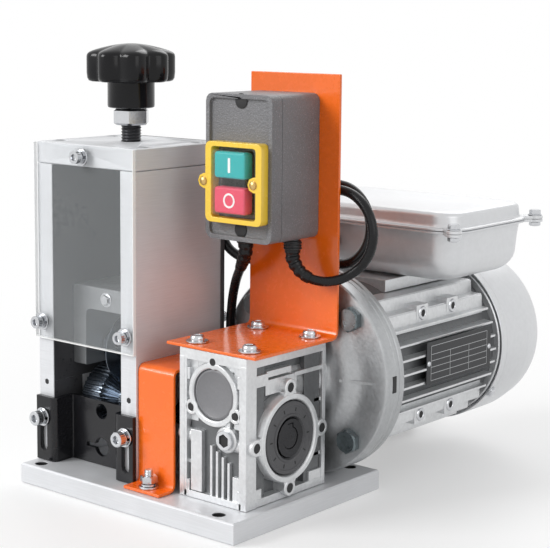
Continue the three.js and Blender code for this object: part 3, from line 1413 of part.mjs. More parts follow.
const cordBlack = { color: 0x141416, roughness: 0.5, metalness: 0 };
const grommetPlace = group(switchGroup, 0, grommet.y, box.centreHeight - box.height / 2);
const glandPlace = group(motorGroup, gland.x, junctionY - junction.depth / 2, gland.z);
add(grommetPlace, 'box_grommets', boxGrommets(), blackPlastic);
add(glandPlace, 'lead_gland', leadGland(), blackPlastic);
add(machine, 'motor_lead', lead.geometry, cordBlack);
add(machine, 'mains_cord', mains.geometry, cordBlack);
add(machine, 'cord_coil', wound.geometry, cordBlack);
add(
  group(machine, coil.x, coil.y + coil.tail + gap, cord.radius + coil.lift + coil.pitch),
  'mains_plug', mainsPlug(), cordBlack,
);

export default machine;
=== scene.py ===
# Electric wire stripping machine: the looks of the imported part.
# Lengths in the tables and in the shape functions are millimetres, and each mesh is made in metres.
import math
import bmesh
import bpy
from mathutils import Matrix, Vector


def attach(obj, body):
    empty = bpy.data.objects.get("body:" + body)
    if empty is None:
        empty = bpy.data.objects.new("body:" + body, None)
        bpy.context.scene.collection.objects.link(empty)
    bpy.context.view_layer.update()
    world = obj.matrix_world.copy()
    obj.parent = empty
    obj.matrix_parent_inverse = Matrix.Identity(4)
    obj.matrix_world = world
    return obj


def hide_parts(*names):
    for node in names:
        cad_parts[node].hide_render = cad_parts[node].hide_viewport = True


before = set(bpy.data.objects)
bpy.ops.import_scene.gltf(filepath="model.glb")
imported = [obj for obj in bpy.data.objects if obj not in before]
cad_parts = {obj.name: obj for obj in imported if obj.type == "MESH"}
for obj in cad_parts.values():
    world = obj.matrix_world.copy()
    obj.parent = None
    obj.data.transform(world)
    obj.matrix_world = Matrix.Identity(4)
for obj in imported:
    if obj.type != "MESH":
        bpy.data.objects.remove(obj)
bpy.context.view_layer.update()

MM = 0.001
FRAME_BODY = "frame"

# Places that several pieces share: the head's middle, front, back and side plates, the axes of the drive and of the
# worm, the start of each part of the motor along its axis, the buttons and the terminal box
HEAD_X, HEAD_FRONT, HEAD_BACK, PLATE_X = -50.3, -57.2, 25.3, 39.7
FEED_Y, FEED_Z = -14.0, 54.0
GEAR_X, WORM_Z = 60.2, 84.0
BASE_TOP = 14
FLANGE_Y, SHIELD_Y, HOUSING_Y, REAR_Y = 26.3, 46.6, 56.8, 190.1
BUTTON_X, BUTTON_Z = 49.9, 214.8
JUNCTION_Y = 146.3
CORNERS = [(sx, sy) for sx in (-1, 1) for sy in (-1, 1)]
GEAR_SCREWS = [(GEAR_X + sx * 22, FEED_Y + sy * 30) for sx, sy in CORNERS]


def linked(name, data):
    """A new object in the scene."""
    made = bpy.data.objects.new(name, data)
    bpy.context.scene.collection.objects.link(made)
    return made


# Camera at the photograph's viewpoint

camera_data = bpy.data.cameras.new("camera")
camera = linked("camera", camera_data)
forward = Vector((-0.64377, 0.75440, -0.12819))
camera.location = (0.6828, -0.7493, 0.3214)
camera.rotation_mode = "QUATERNION"
roll = Matrix.Rotation(math.radians(0.35), 3, "Z").to_quaternion()
camera.rotation_quaternion = forward.to_track_quat("-Z", "Y") @ roll
camera_data.sensor_width = 36
camera_data.lens = 99.83
camera_data.shift_x = 0.0473
camera_data.shift_y = -0.1150
camera_data.clip_end = 50
bpy.context.scene.camera = camera
bpy.context.scene.view_settings.view_transform = "Standard"

# Light, world and floor


def seen_factor(nodes, links):
    """1 for rays that see the background directly, by reflection or through glass, and 0 for the rest."""
    path = nodes.new("ShaderNodeLightPath")
    first = nodes.new("ShaderNodeMath")
    first.operation = "MAXIMUM"
    links.new(path.outputs["Is Camera Ray"], first.inputs[0])
    links.new(path.outputs["Is Glossy Ray"], first.inputs[1])
    second = nodes.new("ShaderNodeMath")
    second.operation = "MAXIMUM"
    links.new(first.outputs[0], second.inputs[0])
    links.new(path.outputs["Is Transmission Ray"], second.inputs[1])
    return second.outputs[0]


def ranged(nodes, links, value, source, target):
    """A value mapped from one span to another."""
    made = nodes.new("ShaderNodeMapRange")
    for name, number in zip(("From Min", "From Max", "To Min", "To Max"), (*source, *target)):
        made.inputs[name].default_value = number
    links.new(value, made.inputs["Value"])
    return made


def background_strength(nodes, links, other):
    """1 where the background is seen, and another level where it lights the scene."""
    return ranged(nodes, links, seen_factor(nodes, links), (0, 1), (other, 1)).outputs[0]


world = bpy.data.worlds.new("studio")
world.use_nodes = True
bpy.context.scene.world = world
background = world.node_tree.nodes["Background"]
background.inputs["Color"].default_value = (1, 1, 1, 1)
studio_level = background_strength(world.node_tree.nodes, world.node_tree.links, 0.56)
world.node_tree.links.new(studio_level, background.inputs["Strength"])

LIT_POINT = Vector((0, 0.04, 0.12))


def lamp(name, place, power, size):
    data = bpy.data.lights.new(name, "AREA")
    data.energy = power
    data.size = size
    light = linked(name, data)
    light.location = place
    light.rotation_mode = "QUATERNION"
    light.rotation_quaternion = (LIT_POINT - Vector(place)).to_track_quat("-Z", "Y")


lamp("key_light", (-1.0, -1.6, 1.2), 32, 1.0)
lamp("fill_light", (1.9, -0.5, 0.9), 6, 1.2)
lamp("back_light", (-0.5, 1.6, 1.5), 9, 1.2)


def floor_material():
    """Pale floor that takes soft shadows under the part and fades into the white background."""
    made = bpy.data.materials.new("pale_floor")
    made.use_nodes = True
    nodes, links = made.node_tree.nodes, made.node_tree.links
    shader = nodes["Principled BSDF"]
    shader.inputs["Base Color"].default_value = (0.93, 0.93, 0.93, 1)
    shader.inputs["Roughness"].default_value = 0.5
    glow = nodes.new("ShaderNodeEmission")
    links.new(background_strength(nodes, links, 0.5), glow.inputs["Strength"])
    place = nodes.new("ShaderNodeTexCoord")
    length = nodes.new("ShaderNodeVectorMath")
    length.operation = "LENGTH"
    links.new(place.outputs["Object"], length.inputs[0])
    fade = ranged(nodes, links, length.outputs["Value"], (0.2, 0.75), (0.35, 1))
    fade.interpolation_type = "SMOOTHSTEP"
    mix = nodes.new("ShaderNodeMixShader")
    links.new(fade.outputs[0], mix.inputs[0])
    links.new(shader.outputs[0], mix.inputs[1])
    links.new(glow.outputs[0], mix.inputs[2])
    links.new(mix.outputs[0], nodes["Material Output"].inputs["Surface"])
    return made


FLOOR_REACH, FLOOR_DROP = 12.0, 0.0002
floor_mesh = bpy.data.meshes.new("floor")
corners = [(x * FLOOR_REACH, y * FLOOR_REACH, -FLOOR_DROP) for x, y in ((-1, -1), (1, -1), (1, 1), (-1, 1))]
floor_mesh.from_pydata(corners, [], [(0, 1, 2, 3)])
floor_mesh.materials.append(floor_material())
floor = linked("floor", floor_mesh)

# Materials: each one varies in colour and roughness and has a relief of its own scale

LOOKS = {}


def noise(nodes, links, place, scale, detail=2):
    made = nodes.new("ShaderNodeTexNoise")
    made.inputs["Scale"].default_value = scale
    made.inputs["Detail"].default_value = detail
    links.new(place, made.inputs["Vector"])
    return made.outputs["Fac"]


def ramped(nodes, links, value, *stops):
    """A value turned into a colour: each stop is a position and a colour, or a position alone."""
    made = nodes.new("ShaderNodeValToRGB")
    for element, (position, *colour) in zip(made.color_ramp.elements, stops):
        element.position = position
        if colour:
            element.color = (*colour, 1)
    links.new(value, made.inputs[0])
    return made.outputs[0]


def material(name, colour, rough, metal, vary, grain, bumps, blotch=25, stretch=(1, 1, 1), coat=0.0, alpha=1.0,
             rough_vary=0.06, speck=None, specular=0.5):
    """Broad and fine noise vary the colour and the roughness, and the fine noise is the relief."""
    made = bpy.data.materials.new(name)
    made.use_nodes = True
    nodes, links = made.node_tree.nodes, made.node_tree.links
    shader = nodes["Principled BSDF"]
    for socket, value in (("Metallic", metal), ("Coat Weight", coat), ("Coat Roughness", 0.08), ("Alpha", alpha),
                          ("Specular IOR Level", specular)):
        shader.inputs[socket].default_value = value
    place = nodes.new("ShaderNodeTexCoord").outputs["Object"]
    mapping = nodes.new("ShaderNodeMapping")
    mapping.inputs["Scale"].default_value = stretch
    links.new(place, mapping.inputs["Vector"])
    broad = noise(nodes, links, place, blotch, 4)
    fine = noise(nodes, links, mapping.outputs["Vector"], grain, 3)
    both = nodes.new("ShaderNodeMix")
    both.data_type = "FLOAT"
    both.inputs[0].default_value = 0.5
    links.new(broad, both.inputs[2])
    links.new(fine, both.inputs[3])
    shown = ramped(nodes, links, both.outputs[0], (0.3, *[c * (1 - vary) for c in colour]),
                   (0.7, *[min(1.0, c * (1 + vary)) for c in colour]))
    if speck:
        flakes = noise(nodes, links, place, speck[0])
        tint = nodes.new("ShaderNodeMix")
        tint.data_type = "RGBA"
        links.new(ramped(nodes, links, flakes, (0.6,), (0.68,)), tint.inputs[0])
        links.new(shown, tint.inputs[6])
        tint.inputs[7].default_value = (*speck[1], 1)
        shown = tint.outputs[2]
    links.new(shown, shader.inputs["Base Color"])
    sheen = ranged(nodes, links, both.outputs[0], (0.3, 0.7), (max(0.02, rough - rough_vary), rough + rough_vary))
    links.new(sheen.outputs[0], shader.inputs["Roughness"])
    bump = nodes.new("ShaderNodeBump")
    bump.inputs["Strength"].default_value = bumps
    bump.inputs["Distance"].default_value = 0.001
    links.new(fine, bump.inputs["Height"])
    links.new(bump.outputs["Normal"], shader.inputs["Normal"])
    LOOKS[name] = made


# Name, colour, roughness, metal, how far the colour varies, fineness of the grain, strength of the relief
material("ground_steel", (0.68, 0.69, 0.71), 0.5, 0.3, 0.07, 60, 0.06, stretch=(1, 1, 26))
material("bright_steel", (0.58, 0.59, 0.61), 0.2, 1, 0.06, 700, 0.02)
material("black_oxide", (0.03, 0.03, 0.033), 0.32, 0.7, 0.3, 800, 0.04)
material("black_paint", (0.01, 0.01, 0.012), 0.2, 0, 0.3, 500, 0.02, specular=0.35)
material("clear_sheet", (0.86, 0.9, 0.92), 0.05, 0, 0.02, 40, 0.004, alpha=0.09, rough_vary=0.02, specular=0.35)
material("clear_boot", (0.93, 0.92, 0.88), 0.1, 0, 0.03, 120, 0.02, alpha=0.04, rough_vary=0.03, specular=0.4)
material("cast_aluminium", (0.68, 0.69, 0.7), 0.36, 0.7, 0.12, 420, 0.2, blotch=60)
material("silver_paint", (0.72, 0.73, 0.745), 0.38, 0.5, 0.05, 260, 0.05, blotch=14, coat=0.15)
material("orange_paint", (0.9, 0.15, 0.006), 0.26, 0, 0.05, 240, 0.07, blotch=9, coat=0.35)
material("black_gloss", (0.005, 0.005, 0.006), 0.16, 0, 0.3, 90, 0.03, specular=0.25)
material("black_plastic", (0.02, 0.02, 0.022), 0.38, 0, 0.2, 900, 0.08)
material("grey_plastic", (0.16, 0.16, 0.168), 0.42, 0, 0.16, 950, 0.5, speck=(1300, (0.28, 0.28, 0.29)))
material("yellow_plastic", (0.90, 0.60, 0.055), 0.25, 0, 0.05, 300, 0.04, coat=0.3)
material("green_plastic", (0.0, 0.43, 0.43), 0.35, 0, 0.05, 300, 0.03, specular=0.25)
material("red_plastic", (0.8, 0.06, 0.13), 0.35, 0, 0.05, 300, 0.03, specular=0.25)
material("bronze", (0.55, 0.33, 0.12), 0.35, 0.9, 0.12, 500, 0.08)
material("black_rubber", (0.007, 0.007, 0.008), 0.27, 0, 0.25, 350, 0.05, specular=0.28)
material("plate_black", (0.03, 0.031, 0.034), 0.35, 0.4, 0.2, 700, 0.05)
material("cast_mid", (0.44, 0.45, 0.46), 0.36, 0.75, 0.12, 420, 0.2, blotch=60)
# A darker copy of the cast aluminium: painted shade in the gearbox's recesses and between the housing's fins
material("cast_painted_shade", (0.14, 0.145, 0.15), 0.42, 0.5, 0.16, 420, 0.25, blotch=60)
material("carriage_steel", (0.3, 0.31, 0.32), 0.4, 0.6, 0.08, 200, 0.06)
# Black for the rear guard, and painted shade on the inner faces of the side plates
material("black_panel_and_inner_shade", (0.06, 0.06, 0.064), 0.3, 0, 0.12, 300, 0.04, specular=0.3)
material("seal_grey", (0.07, 0.07, 0.075), 0.4, 0, 0.18, 800, 0.06)
material("cover_grey", (0.19, 0.19, 0.2), 0.42, 0, 0.08, 700, 0.06)
material("blue_steel", (0.20, 0.23, 0.27), 0.2, 0.95, 0.12, 300, 0.03, stretch=(12, 1, 1))
# White for the print on the buttons, and a painted highlight on the front guard's edges
material("white_print_and_highlight", (0.93, 0.93, 0.92), 0.35, 0, 0.02, 400, 0.02)
# Near-black for the seal's marks and the top plate's screws, and painted shade in holes, slots and counterbores
material("matt_black_and_hole_shade", (0.01, 0.01, 0.011), 0.6, 0, 0.3, 500, 0.05)
material("brass_screw", (0.62, 0.42, 0.16), 0.28, 0.9, 0.1, 600, 0.04)
material("dark_bolt", (0.16, 0.19, 0.2), 0.3, 0.85, 0.25, 600, 0.1, blotch=200)
material("plate_line", (0.5, 0.51, 0.52), 0.35, 0.8, 0.1, 600, 0.04)

# Shape functions: a shape is a list of points and a list of faces

ROUND = 48


def on_circle(radius, angle):
    return radius * math.cos(angle), radius * math.sin(angle)


def round_places(reach, angles):
    """Places round an axis, at angles in degrees."""
    return [on_circle(reach, math.radians(a)) for a in angles]


def circle(radius, z, count=ROUND):
    return [(*on_circle(radius, 2 * math.pi * i / count), z) for i in range(count)]


def flats(across, z):
    """A hexagon's outline with as many points as a circle, so that the two can be joined."""
    step = math.pi / 3
    angles = [2 * math.pi * i / ROUND for i in range(ROUND)]
    return [(*on_circle(across / 2 / math.cos((a + step / 2) % step - step / 2), a), z) for a in angles]


def plan(width, depth, radius, z, steps=6):
    """The outline of a rounded rectangle."""
    ring = []
    for quarter, (sx, sy) in enumerate(((1, 1), (-1, 1), (-1, -1), (1, -1))):
        for i in range(steps + 1):
            x, y = on_circle(radius, (quarter + i / steps) * math.pi / 2)
            ring.append((sx * (width / 2 - radius) + x, sy * (depth / 2 - radius) + y, z))
    return ring


def skin(levels, closed=False):
    """Joins outlines of equal count, one above the other."""
    count = len(levels[0])
    points = [p for level in levels for p in level]
    faces = []
    total = len(levels)
    for k in range(total if closed else total - 1):
        low, high = k * count, (k + 1) % total * count
        faces += [(low + i, low + (i + 1) % count, high + (i + 1) % count, high + i) for i in range(count)]
    if not closed:
        faces.append(tuple(reversed(range(count))))
        faces.append(tuple((total - 1) * count + i for i in range(count)))
    return points, faces


def lathe(profile, count):
    """A turned solid: each row of the profile is a radius and a height."""
    return skin([circle(r, z, count) for r, z in profile])


def hoop(profile, count):
    """A turned ring: its outline closes on itself."""
    return skin([circle(r, z, count) for r, z in profile], closed=True)


def disc(radius, low, high, count=24):
    return lathe([(radius, low), (radius, high)], count)


def tube(inner, outer, low, high, count=ROUND, round_off=0.3):
    """A ring with rounded edges."""
    c = min(round_off, (high - low) / 3, (outer - inner) / 3)
    return hoop([(inner + c, low), (outer - c, low), (outer, low + c), (outer, high - c), (outer - c, high),
                 (inner + c, high), (inner, high - c), (inner, low + c)], count)


def block(x, y, z):
    points = [(a, b, c) for c in z for a, b in ((x[0], y[0]), (x[1], y[0]), (x[1], y[1]), (x[0], y[1]))]
    return points, [(3, 2, 1, 0), (4, 5, 6, 7), (0, 1, 5, 4), (1, 2, 6, 5), (2, 3, 7, 6), (3, 0, 4, 7)]


def blocks(*rows):
    """A block for each row of two x, two y and two z."""
    return [block(row[:2], row[2:4], row[4:]) for row in rows]


def prism(outline, low, high):
    """A flat outline of [x, y], pulled up along z."""
    return skin([[(x, y, low) for x, y in outline], [(x, y, high) for x, y in outline]])


def shift(shape, x, y, z):
    return [(a + x, b + y, c + z) for a, b, c in shape[0]], shape[1]


def spun(shape, degrees):
    c, s = on_circle(1, math.radians(degrees))
    return [(a * c - b * s, a * s + b * c, z) for a, b, z in shape[0]], shape[1]


TURNS = {"+z": lambda a, b, c: (a, b, c), "-z": lambda a, b, c: (a, -b, -c), "+x": lambda a, b, c: (c, a, b),
         "-x": lambda a, b, c: (-c, -a, b), "+y": lambda a, b, c: (-a, c, b), "-y": lambda a, b, c: (a, -c, b)}


def aim(shape, way, at=(0, 0, 0)):
    """Turns what stands along +z so that it points another way, and moves it."""
    turn = TURNS[way]
    return shift(([turn(*p) for p in shape[0]], shape[1]), *at)


def merged(*shapes):
    points, faces = [], []
    for shape in shapes:
        start = len(points)
        points += shape[0]
        faces += [tuple(start + i for i in face) for face in shape[1]]
    return points, faces


def finish_mesh(mesh, look, angle):
    mesh.materials.clear()
    mesh.materials.append(LOOKS[look])
    mesh.polygons.foreach_set("use_smooth", [True] * len(mesh.polygons))
    mesh.set_sharp_from_angle(angle=math.radians(angle))
    mesh.update()


def dress(made, body, bevel, stands_for):
    """Rounds the edges, hangs the piece on the body it rides and hides the nodes it stands for."""
    if bevel:
        rounding = made.modifiers.new("edges", "BEVEL")
        rounding.width = bevel * MM
        rounding.segments = 2
        rounding.limit_method = "ANGLE"
        rounding.angle_limit = math.radians(38)
        rounding.harden_normals = True
    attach(made, body)
    if stands_for:
        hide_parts(*stands_for)
    return made


def piece(name, shape, look, body=FRAME_BODY, bevel=0.0, angle=40, stands_for=()):
    """A new piece of the object. Faces are turned outwards and shaded smooth up to an angle."""
    mesh = bpy.data.meshes.new(name)
    mesh.from_pydata([(x * MM, y * MM, z * MM) for x, y, z in shape[0]], [], shape[1])
    bm = bmesh.new()
    bm.from_mesh(mesh)
    bmesh.ops.recalc_face_normals(bm, faces=bm.faces)
    bm.to_mesh(mesh)
    bm.free()
    made = linked(name, mesh)
    finish_mesh(mesh, look, angle)
    return dress(made, body, bevel, stands_for)


def refined(node, look, body=FRAME_BODY, bevel=0.4, angle=40):
    """A CAD node's own shape with softened edges and smooth round faces."""
    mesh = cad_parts[node].data.copy()
    bm = bmesh.new()
    bm.from_mesh(mesh)
    bmesh.ops.remove_doubles(bm, verts=bm.verts, dist=2e-6)
    bmesh.ops.dissolve_limit(bm, angle_limit=math.radians(0.6), verts=bm.verts, edges=bm.edges)
    bm.to_mesh(mesh)
    bm.free()
    made = linked("shown_" + node, mesh)
    finish_mesh(mesh, look, angle)
    return dress(made, body, bevel, (node,))


# Cords: the routes of part.mjs, in metres

CORD = 0.0065
ROUTE_STEPS = 6


def smooth_route(points):
    """A centripetal Catmull-Rom curve through the points."""
    p = [Vector(q) for q in points]
    p = [2 * p[0] - p[1], *p, 2 * p[-1] - p[-2]]
    out = []
    for a, b, c, d in zip(p, p[1:], p[2:], p[3:]):
        t0, t1, t2 = [max((v - u).length ** 0.5, 1e-6) for u, v in ((a, b), (b, c), (c, d))]
        start = ((b - a) / t0 - (c - a) / (t0 + t1) + (c - b) / t1) * t1
        end = ((c - b) / t1 - (d - b) / (t1 + t2) + (d - c) / t2) * t1
        for i in range(ROUTE_STEPS):
            t = i / ROUTE_STEPS
            square, cube = 3 * (c - b) - 2 * start - end, 2 * (b - c) + start + end
            out.append(b + start * t + square * t * t + cube * t ** 3)
    return [*out, p[-2]]


def cord_curve(name, points):
    data = bpy.data.curves.new(name, "CURVE")
    data.dimensions = "3D"
    data.bevel_depth = CORD / 2
    data.bevel_resolution = 4
    data.use_fill_caps = True
    line = data.splines.new("POLY")
    line.points.add(len(points) - 1)
    for point, place in zip(line.points, points):
        point.co = (*place, 1)
    line.use_smooth = True
    data.materials.append(LOOKS["black_rubber"])
    return linked(name, data)


def relief(name, points, widths):
    """A tapered strain relief round the start of a cord, with grooves across it."""
    levels = []
    for i, (centre, width) in enumerate(zip(points, widths)):
        along = (points[min(i + 1, len(points) - 1)] - points[max(i - 1, 0)]).normalized()
        side = along.cross(Vector((0, 1, 0))).normalized()
        other = along.cross(side)
        angles = [2 * math.pi * k / 24 for k in range(24)]
        levels.append([tuple((centre + (side * math.cos(a) + other * math.sin(a)) * width) / MM) for a in angles])
    return piece(name, skin(levels), "black_rubber")


MAINS_ROUTE = [
    (0.0317, 0.0105, 0.1707), (0.0315, 0.0108, 0.165), (0.027, 0.013, 0.157), (0.018, 0.020, 0.149),
    (0.010, 0.026, 0.141), (0.0035, 0.030, 0.128), (0.0005, 0.0315, 0.112), (0.0, 0.0313, 0.095),
    (-0.0008, 0.0308, 0.076), (-0.001, 0.031, 0.058), (0.0, 0.035, 0.040), (0.004, 0.044, 0.027),
    (0.010, 0.056, 0.0195), (0.014, 0.070, 0.018), (0.014, 0.084, 0.015), (0.014, 0.098, 0.008),
    (0.014, 0.112, 0.004), (0.014, 0.120, 0.0034), (0.014, 0.1272, 0.0034),
]
LEAD_START = [
    (0.0717, 0.0105, 0.1707), (0.0717, 0.0105, 0.1664), (0.0727, 0.0109, 0.1624), (0.077, 0.0129, 0.1557),
    (0.0835, 0.0161, 0.1516), (0.0909, 0.0201, 0.1503), (0.098, 0.0246, 0.1516), (0.1042, 0.0291, 0.1552),
    (0.1101, 0.0319, 0.1606),
]
LEAD_END = [
    (0.0662, 0.0461, 0.2106), (0.0503, 0.0457, 0.2104), (0.0345, 0.0445, 0.2092), (0.0192, 0.0424, 0.206),
    (0.0054, 0.0394, 0.1997), (-0.0051, 0.036, 0.1894), (-0.0092, 0.0333, 0.176), (-0.0048, 0.033, 0.1629),
    (0.0063, 0.0364, 0.1551), (0.0191, 0.0433, 0.1543), (0.0296, 0.0534, 0.1581), (0.0359, 0.0662, 0.1627),
    (0.0372, 0.0738, 0.164), (0.0372, 0.081, 0.164),
]


def coil_points():
    """The stored cord: turns that wind inwards in the lower layer and outwards in the upper one."""
    x, y, radius, turns, pitch, low, steps = 0.014, 0.134, 0.0485, 6, 0.0071, 0.0034, 20
    winding = []
    for i in range(turns * steps + 1):
        turn = i / steps
        reach = radius - pitch * min(turn, turns - turn)
        climb = min(1.0, max(0.0, 2 * (turn - turns / 2) + 0.5))
        across, along = on_circle(reach, 2 * math.pi * turn)
        winding.append((x - radius + across, y + along, low + pitch * climb))
    return [(x, y - 0.00325, low), *winding, *[(x, y + 0.038 * k / 3, low + pitch) for k in (1, 2, 3)]]


def loop_points():
    """The two upright loops of the motor lead."""
    x, y, z, advance, outer, inner = 0.094, 0.0322, 0.1815, 0.010, 0.026, 0.025
    first, last, drift, rise = 47, 540, -0.012, 0.004
    count = round((last - first) / 360 * 20)
    loops = []
    for i in range(count + 1):
        share = i / count
        degrees = first + (last - first) * share
        angle, radius = math.radians(degrees), outer + (inner - outer) * share
        loops.append((x + drift * share + radius * math.sin(angle), y + advance * (degrees - first) / 360,
                      z + rise * share - radius * math.cos(angle)))
    return loops


mains_line = smooth_route(MAINS_ROUTE + coil_points())
lead_line = smooth_route(LEAD_START + loop_points() + LEAD_END)
mains_flex = cord_curve("mains_flex", mains_line)
motor_flex = cord_curve("motor_flex", lead_line)
for flex, nodes in ((mains_flex, ("mains_cord", "cord_coil")), (motor_flex, ("motor_lead",))):
    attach(flex, FRAME_BODY)
    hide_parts(*nodes)


def plug_shape():
    """A moulded plug along +z: tapered ribbed neck and a body with finger grips. Its two blades and earth pin are
    shapes of their own.
    """
    levels = [plan(8.4, 8.4, 4, 0.4)]
    for k in range(5):
        z = 2.2 * k + 0.6
        wide = 8.6 + 0.5 * k
        rib = ((0, 0), (1, 0.5), (1, 1.4), (0, 1.9))
        levels += [plan(wide + swell, wide + swell, wide / 2.1, z + rise) for swell, rise in rib]
    body = ((15, 13, 5, 12), (21, 17.5, 5, 14), (24, 19.6, 4.5, 17.5), (24.6, 20, 4.5, 22), (22.6, 18.6, 4.5, 27),
            (22.4, 18.4, 4.5, 33), (24.4, 20, 4.2, 39), (25, 20.4, 4, 42), (25, 20.4, 4, 47), (24, 19.4, 3.6, 48))
    return skin(levels + [plan(*row) for row in body])


PLUG_AT = (14, 172.3, 10.5)
mains_plug = piece("moulded_plug", aim(plug_shape(), "+y", PLUG_AT), "black_rubber", stands_for=("mains_plug",))
blade_pin = skin([plan(1.6, 6.4, 0.5, 47, 2), plan(1.6, 6.4, 0.5, 62.6, 2), plan(1.0, 5.4, 0.4, 64, 2)])
earth_pin = shift(lathe([(2.4, 47), (2.4, 64.6), (1.6, 66)], 24), 0, -5, 0)
prongs = merged(shift(blade_pin, -6.35, 0, 0), shift(blade_pin, 6.35, 0, 0), earth_pin)
plug_prongs = piece("plug_prongs", aim(prongs, "+y", PLUG_AT), "bright_steel")


def taper(line, length, wide, thin):
    """Points along the start of a route and a radius at each, with grooves."""
    points, widths, walked = [line[0]], [wide * MM], 0.0
    for a, b in zip(line, line[1:]):
        steps = max(1, round((b - a).length / 0.0008))
        for k in range(1, steps + 1):
            here = a + (b - a) * k / steps
            walked += (b - a).length / steps
            if walked > length:
                return points, widths
            share = walked / length
            groove = 0.88 if int(walked / 0.0024) % 2 and 0.12 < share < 0.9 else 1.0
            points.append(here)
            widths.append((wide + (thin - wide) * share) * groove * MM)
    return points, widths


mains_relief = relief("mains_strain_relief", *taper(mains_line, 0.024, 5.2, 3.8))
lead_relief = relief("lead_strain_relief", *taper(lead_line, 0.024, 5.2, 3.8))
end_relief = relief("terminal_strain_relief", *taper(lead_line[::-1], 0.022, 4.9, 3.7))

# Fasteners, standing on z = 0 and pointing up


def socket_head(radius, height, key_flats, start=0.0):
    """A knurled head with a hexagon socket."""
    def knurled(z):
        ring = enumerate(circle(radius, z))
        return [(x * (1 - 0.045 * (i % 2)), y * (1 - 0.045 * (i % 2)), z) for i, (x, y, _) in ring]
    top, floor = start + height, start + height - height * 0.5
    return skin([
        circle(radius * 0.94, start), circle(radius, start + 0.3), circle(radius, start + 0.8),
        knurled(start + 0.9), knurled(top - 1.1), circle(radius, top - 1.0), circle(radius, top - 0.6),
        circle(radius - 0.6, top), flats(key_flats + 0.5, top), flats(key_flats, top - 0.25),
        flats(key_flats, floor), circle(0.2, floor - 0.8),
    ])


def hex_head(across, height, start=0.0):
    top = start + height
    return skin([
        flats(across * 0.98, start), flats(across, start + 0.3), flats(across, top - height * 0.16),
        circle(across / 2 * 0.97, top), circle(across / 2 * 0.9, top), circle(0.3, top),
    ])


def washer(inner, outer, thickness):
    return tube(inner, outer, 0, thickness, 40, 0.25)


def lock_washer(inner, outer, thickness, start):
    """A split ring: a square section swept round all but the split."""
    levels = []
    for k in range(41):
        angle = math.radians(10 + 340 * k / 40)
        rise = start + 0.35 * k / 40
        section = ((inner, rise), (outer, rise), (outer, rise + thickness), (inner, rise + thickness))
        levels.append([(*on_circle(r, angle), z) for r, z in section])
    return skin(levels)


def cap_screw(radius, height, key_flats, ring, lock):
    """A socket screw on a washer and a lock washer."""
    bore = radius * 0.62
    return merged(washer(bore, ring, 1.2), lock_washer(bore, lock, 1.1, 1.2),
                  socket_head(radius, height, key_flats, 2.65))


def nut(across, height, start, bore):
    top = start + height
    return skin([
        circle(bore, start), circle(across / 2 * 0.93, start), flats(across, start + height * 0.12),
        flats(across, top - height * 0.12), circle(across / 2 * 0.93, top), circle(bore, top),
    ], closed=True)


def thread(radius, depth, pitch, low, high, sides=32):
    """A threaded rod: the radius follows one helix."""
    levels = []
    count = int((high - low) / pitch * 6)
    for k in range(count + 1):
        z = low + (high - low) * k / count
        ring = []
        for i in range(sides):
            share = (z / pitch - i / sides) % 1.0
            cut = 1 - abs(2 * share - 1)
            reach = radius - depth * min(1.0, cut * 1.25)
            ring.append((*on_circle(reach, 2 * math.pi * i / sides), z))
        levels.append(ring)
    return skin(levels)


def at_all(shape, way, places):
    """The same shape at several places, as one."""
    return merged(*[aim(shape, way, place) for place in places])


# Plates of the base and the head, the clear front guard and the dark rear guard

for node in ("base_plate", "left_side_plate", "right_side_plate"):
    refined(node, "ground_steel", bevel=0.35)
refined("top_plate", "ground_steel", bevel=0)
refined("front_guard", "clear_sheet", bevel=0.25)
refined("rear_guard", "black_panel_and_inner_shade", bevel=0.25)
# Painted shade: a dark lining inside each hole of the base plate stands for the shade in the holes
hole_shade_lining = tube(4.15, 4.45, 0.4, 13.6, 40, 0.1)
piece("base_hole_shade", at_all(hole_shade_lining, "+z", [(x, y, 0) for x in (-85, 78) for y in (-67.5, 67.5)]),
      "matt_black_and_hole_shade")
# Painted shade: dark discs in the spare holes of the side plates
spare_places = [(HEAD_X + side * PLATE_X, HEAD_FRONT + 0.5, 69) for side in (-1, 1)]
piece("spare_hole_shade", at_all(disc(1.95, 0, 0.4), "-y", spare_places), "matt_black_and_hole_shade")
# Painted highlight: bright strips along the lower and side edges of the clear front guard stand for the light its
# cut edges catch
edge_depth = (HEAD_FRONT - 3.1, HEAD_FRONT - 0.6)
edges = [block((HEAD_X + x - 0.25, HEAD_X + x + 0.25), edge_depth, (100.9, 234.4)) for x in (-47.1, 47.1)]
guard_highlight_strips = merged(block((HEAD_X - 47.2, HEAD_X + 47.2), edge_depth, (100.1, 100.7)), *edges)
piece("guard_edge_highlight", guard_highlight_strips, "white_print_and_highlight")

# Painted shade: a thin dark sheet on the inner face of each side plate, with a gap at the bearing seat, stands for
# the shade inside the head
shade_front, shade_back = HEAD_FRONT + 0.6, HEAD_BACK - 0.6
seat = 16.6
below_seat = (BASE_TOP + 0.4, FEED_Z + seat - 0.1)
for side, name in ((-1, "left"), (1, "right")):
    across = sorted((HEAD_X + side * 32.5, HEAD_X + side * 32.9))
    coat = merged(block(across, (shade_front, shade_back), (FEED_Z + seat, 219.6)),
                  block(across, (shade_front, FEED_Y - seat), below_seat),
                  block(across, (FEED_Y + seat, shade_back), below_seat))
    piece(f"{name}_inner_shade", coat, "black_panel_and_inner_shade")

